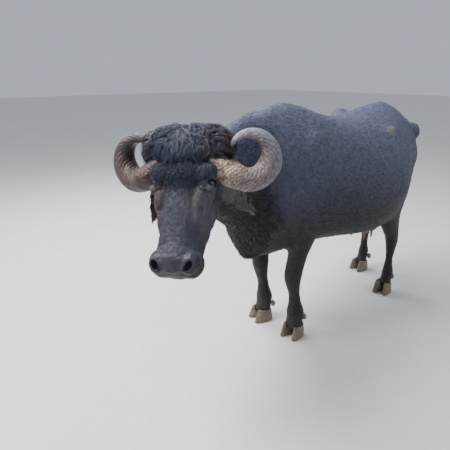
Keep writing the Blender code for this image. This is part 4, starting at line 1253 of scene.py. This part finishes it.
def build_switch(settings):
    """Hair of the tail's end."""
    chance = np.random.RandomState(settings.seed + 5)
    low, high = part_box("tail_switch")
    number = settings.switch
    share = chance.uniform(0, 1, number) ** 0.8
    top = Vector((-0.0218, 1.3161, 0.5985)) + SHIFT
    foot = Vector((-0.0300, 1.3000, 0.3300)) + SHIFT
    turn = chance.uniform(0, 2 * math.pi, number)
    reach = np.sqrt(chance.uniform(0.0, 1, number))
    axis = np.array(top)[None] * (1 - share[:, None]) + np.array(foot)[None] * share[:, None]
    round_by = np.stack([np.cos(turn), np.sin(turn), np.zeros(number)], axis=1)
    width = 0.014 * (1 - share * 0.65)
    length = chance.uniform(0.13, 0.24, number)
    length = np.minimum(length, axis[:, 2] - low.z - 0.002)
    length = np.maximum(length, 0.03)
    stops = 7
    spines = np.empty((number, stops, 3))
    sway = chance.normal(0, 0.006, (number, 2))
    for stop in range(stops):
        part = stop / (stops - 1)
        flare = width * reach * (1 + 0.9 * part - 1.1 * part ** 2)
        spot = axis + round_by * flare[:, None]
        spot[:, 2] -= length * part
        spot[:, 0] += sway[:, 0] * math.sin(part * 2.6) * 1.3
        spot[:, 1] += sway[:, 1] * math.sin(part * 2.2) * 1.3
        spines[:, stop] = spot
    spines[:, :, 2] = np.maximum(spines[:, :, 2], low.z + 0.001)
    ups = np.repeat(round_by[:, None], stops, axis=1)
    colours = np.tile(np.array(CHARCOAL) * 0.8, (number, 1)) * chance.uniform(0.5, 1.8, (number, 1))
    widths = chance.uniform(0.0007, 0.0013, number)
    taper = (1, 1, 0.95, 0.85, 0.7, 0.45)
    hair = build_strands("switch_hair", spines, ups, widths, widths * 0.6, colours, taper)
    return settle_piece(hair, kept_material("coat_hair", coat_material), "coat", "tail_switch")


COAT_ZONES = ("head", "neck", "torso_left", "torso_right", "legs")


def coat_flow(places, zone):
    """Which way the hair lies at each place."""
    flow = np.zeros_like(places)
    if zone == "head":
        flow[:] = np.array(HEAD_DOWN) * 0.9
        head = to_head(places)
        flow += np.array(HEAD_LEFT) * (head[:, 0] * 3.0)[:, None]
    elif zone == "neck":
        flow[:] = (-0.10, 0.75, -0.55)
    elif zone.startswith("torso"):
        flow[:] = (0.0, 0.85, -0.50)
    else:
        flow[:] = (0.0, 0.10, -1.0)
    return flow


def build_coat(settings):
    """Short tufts over the whole animal, a piece for each part of it."""
    chance = np.random.RandomState(settings.seed + 9)
    places, normals, corners, middle, area = skin_faces()
    local = middle - np.array(SHIFT)
    head = to_head(middle)
    fine = head_share(middle)
    bare = near(middle, head_point(0, -0.02, 0.54), 0.085) > 0.05
    bare |= (head[:, 1] > -0.19) & (head[:, 2] < 0.10) & (fine > 0.5) & (np.abs(head[:, 0]) < 0.16)
    for side in (1, -1):
        bare |= near(middle, head_point(EYE_SEAT[0] * side, EYE_SEAT[1], EYE_SEAT[2]), 0.036) > 0.0
    low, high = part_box("udder")
    at_udder = np.all((middle > np.array(low)) & (middle < np.array(high)), axis=1)
    bare |= at_udder & (middle[:, 2] < high.z - 0.05)
    zone_of = np.where(local[:, 0] > 0, 2, 3)
    zone_of[fine > 0.5] = 0
    zone_of[(fine <= 0.5) & (local[:, 1] < -0.28)] = 1
    zone_of[(fine <= 0.5) & (middle[:, 2] < 0.55)] = 4
    made = []
    plans = {
        "head": (19400, (0.007, 0.013), 0.00045, 0.30),
        "neck": (19000, (0.014, 0.028), 0.00062, 0.42),
        "torso_left": (19400, (0.012, 0.022), 0.00062, 0.30),
        "torso_right": (16000, (0.012, 0.022), 0.00065, 0.30),
        "legs": (17000, (0.007, 0.014), 0.00050, 0.28),
    }
    for number, zone in enumerate(COAT_ZONES):
        count, span, half, stand = plans[zone]
        count = int(count * settings.density)
        weight = area * (zone_of == number) * ~bare
        roots, ups = pick_roots(chance, count, weight, places, normals, corners)
        flow = coat_flow(roots, zone) + chance.normal(0, 0.22, (count, 3))
        flow -= ups * np.sum(flow * ups, axis=1, keepdims=True)
        flow /= np.maximum(np.linalg.norm(flow, axis=1, keepdims=True), 1e-9)
        length = chance.uniform(*span, count)[:, None]
        rise = chance.uniform(0.4, 1.3, count)[:, None] * stand
        start = roots - ups * 0.0012
        bend = start + flow * length * 0.5 + ups * length * rise * 0.62
        tip = start + flow * length + ups * length * rise * 0.80
        tip[:, 2] = np.maximum(tip[:, 2], 0.003)
        spines = np.stack([start, bend, tip], axis=1)
        lay = np.repeat(ups[:, None], 3, axis=1)
        colours, _ = markings_and_painted_light(roots, ups)
        bright = 1.7 if zone == "head" else 2.6
        colours *= chance.uniform(0.45, bright, (count, 1)) ** 1.1
        widths = half * chance.uniform(0.8, 1.3, count)
        piece = build_strands("coat_" + zone, spines, lay, widths, widths * 0.6, colours, (1.0, 0.75))
        made.append(settle_piece(piece, kept_material("coat_hair", coat_material), "coat"))
    return made


# Stage


def build_stage(settings):
    """Camera of the photo, pale floor and soft light."""
    scene = bpy.context.scene
    data = bpy.data.cameras.new("camera")
    data.sensor_width = 36.0
    data.lens = 36.0 * CAMERA_FOCAL / PHOTO_SIZE
    data.clip_end = 200.0
    camera = object_from("camera", data)
    camera.location = CAMERA_AT
    aim = CAMERA_AIM * math.cos(CAMERA_PITCH) - Vector((0, 0, math.sin(CAMERA_PITCH)))
    camera.rotation_euler = aim.to_track_quat("-Z", "Y").to_euler()
    scene.camera = camera
    bm = bmesh.new()
    bmesh.ops.create_grid(bm, x_segments=8, y_segments=8, size=30.0)
    mesh = bpy.data.meshes.new("floor")
    bm.to_mesh(mesh)
    bm.free()
    floor = object_from("floor", mesh)
    floor.data.materials.append(kept_material("floor", floor_material))
    world = bpy.data.worlds.new("studio")
    scene.world = world
    world.use_nodes = True
    sky = world.node_tree.nodes["Background"]
    sky.inputs[0].default_value = (0.80, 0.87, 1.0, 1.0)
    sky.inputs[1].default_value = settings.fill
    right = aim.cross(Vector((0, 0, 1))).normalized()
    back = Vector((aim.x, aim.y, 0)).normalized()
    target = Vector((0, 0, 0.8))
    plans = [
        ("key", -2.6 * right - 0.6 * back + Vector((0, 0, 4.2)), 2.2, settings.key, (1.0, 0.95, 0.88)),
        ("rim", 2.5 * back - 1.5 * right + Vector((0, 0, 3.4)), 2.6, settings.rim, (0.86, 0.92, 1.0)),
        ("side", 3.6 * right - 1.0 * back + Vector((0, 0, 2.2)), 3.0, settings.side, (1.0, 0.98, 0.95)),
    ]
    for name, spot, size, power, tone in plans:
        light = bpy.data.lights.new(name, "AREA")
        light.size = size
        light.energy = power
        light.color = tone
        lamp = object_from(name, light)
        lamp.location = spot
        lamp.rotation_euler = (target - spot).to_track_quat("-Z", "Y").to_euler()
    return floor


# Add-on


class SkinSettings(bpy.types.PropertyGroup):
    """How the skin is made."""

    voxel: FloatProperty(
        name="Voxel", description="Voxel of the remesh", default=0.005, unit="LENGTH", subtype="DISTANCE",
    )
    smoothing: IntProperty(name="Smoothing", description="Rounds of smoothing", default=26, min=0)
    triangles: IntProperty(name="Triangles", description="Triangles of the skin", default=186000, min=1000)
    depth: FloatProperty(
        name="Depth", description="How deep the skin lies in the coat",
        default=0.004, unit="LENGTH", subtype="DISTANCE",
    )


class CoatSettings(bpy.types.PropertyGroup):
    """How the hair is made."""

    seed: IntProperty(name="Seed", description="Seed of the hair", default=7)
    clumps: IntProperty(name="Clumps", description="Clumps in the crown", default=560, min=10)
    strands: IntProperty(name="Strands", description="Strands in each clump", default=13, min=1)
    forehead: IntProperty(name="Forehead", description="Strands on the forehead", default=7000, min=1)
    switch: IntProperty(name="Switch", description="Strands in the tail switch", default=2200, min=10)
    density: FloatProperty(
        name="Density", description="Share of the body's tufts", default=0.95, min=0.0, subtype="FACTOR",
    )


class StageSettings(bpy.types.PropertyGroup):
    """Light of the stage."""

    key: FloatProperty(name="Key", description="Power of the key light", default=360.0, unit="POWER")
    rim: FloatProperty(name="Rim", description="Power of the light from behind", default=150.0, unit="POWER")
    side: FloatProperty(name="Side", description="Power of the side light", default=45.0, unit="POWER")
    fill: FloatProperty(
        name="Fill", description="Strength of the sky", default=0.60, min=0.0, subtype="FACTOR",
    )


class BuffaloSkin(bpy.types.Operator):
    """Builds the one skin over the flesh"""

    bl_idname = "object.buffalo_skin"
    bl_label = "Skin"

    def execute(self, context):
        build_skin(context.scene.buffalo_skin)
        return {"FINISHED"}


class BuffaloEyes(bpy.types.Operator):
    """Builds the eyeballs and their lids"""

    bl_idname = "object.buffalo_eyes"
    bl_label = "Eyes"

    def execute(self, context):
        build_eyes()
        return {"FINISHED"}


class BuffaloHorns(bpy.types.Operator):
    """Builds the surface of the horns"""

    bl_idname = "object.buffalo_horns"
    bl_label = "Horns"

    def execute(self, context):
        build_horns()
        return {"FINISHED"}


class BuffaloHooves(bpy.types.Operator):
    """Builds the claws and dewclaws"""

    bl_idname = "object.buffalo_hooves"
    bl_label = "Hooves"

    def execute(self, context):
        build_hooves()
        return {"FINISHED"}


class BuffaloCrown(bpy.types.Operator):
    """Builds the hair of the crown"""

    bl_idname = "object.buffalo_crown"
    bl_label = "Crown"

    def execute(self, context):
        build_crown(context.scene.buffalo_coat)
        return {"FINISHED"}


class BuffaloForehead(bpy.types.Operator):
    """Builds the hair between the crown and the eyes"""

    bl_idname = "object.buffalo_forehead"
    bl_label = "Forehead"

    def execute(self, context):
        build_forehead(context.scene.buffalo_coat)
        return {"FINISHED"}


class BuffaloSwitch(bpy.types.Operator):
    """Builds the hair of the tail's end"""

    bl_idname = "object.buffalo_switch"
    bl_label = "Tail switch"

    def execute(self, context):
        build_switch(context.scene.buffalo_coat)
        return {"FINISHED"}


class BuffaloCoat(bpy.types.Operator):
    """Builds the short coat of the head, neck, body and legs"""

    bl_idname = "object.buffalo_coat"
    bl_label = "Coat"

    def execute(self, context):
        build_coat(context.scene.buffalo_coat)
        cage = bpy.data.objects.get("coat_cage")
        if cage is not None:
            bpy.data.objects.remove(cage)
        return {"FINISHED"}


class BuffaloStage(bpy.types.Operator):
    """Builds the camera, the floor and the lights"""

    bl_idname = "object.buffalo_stage"
    bl_label = "Stage"

    def execute(self, context):
        build_stage(context.scene.buffalo_stage)
        return {"FINISHED"}


class BuffaloPanel(bpy.types.Panel):
    """Buttons and settings of the buffalo"""

    bl_idname = "VIEW3D_PT_buffalo"
    bl_label = "Buffalo"
    bl_space_type = "VIEW_3D"
    bl_region_type = "UI"
    bl_category = "Buffalo"

    def draw(self, context):
        layout = self.layout
        for group in (context.scene.buffalo_skin, context.scene.buffalo_coat, context.scene.buffalo_stage):
            box = layout.box()
            for key in group.bl_rna.properties.keys():
                if key not in ("rna_type", "name"):
                    box.prop(group, key)
        for operator in OPERATORS:
            layout.operator(operator.bl_idname)


OPERATORS = (
    BuffaloSkin, BuffaloEyes, BuffaloHorns, BuffaloHooves, BuffaloCrown,
    BuffaloForehead, BuffaloSwitch, BuffaloCoat, BuffaloStage,
)
CLASSES = (SkinSettings, CoatSettings, StageSettings, *OPERATORS, BuffaloPanel)


def register():
    for item in CLASSES:
        bpy.utils.register_class(item)
    bpy.types.Scene.buffalo_skin = PointerProperty(type=SkinSettings)
    bpy.types.Scene.buffalo_coat = PointerProperty(type=CoatSettings)
    bpy.types.Scene.buffalo_stage = PointerProperty(type=StageSettings)


def unregister():
    del bpy.types.Scene.buffalo_stage
    del bpy.types.Scene.buffalo_coat
    del bpy.types.Scene.buffalo_skin
    for item in reversed(CLASSES):
        bpy.utils.unregister_class(item)


def main():
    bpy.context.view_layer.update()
    register()
    bpy.ops.object.buffalo_skin()
    bpy.ops.object.buffalo_eyes()
    bpy.ops.object.buffalo_horns()
    bpy.ops.object.buffalo_hooves()
    bpy.ops.object.buffalo_crown()
    bpy.ops.object.buffalo_forehead()
    bpy.ops.object.buffalo_switch()
    bpy.ops.object.buffalo_coat()
    bpy.ops.object.buffalo_stage()


if __name__ == "__main__":
    main()
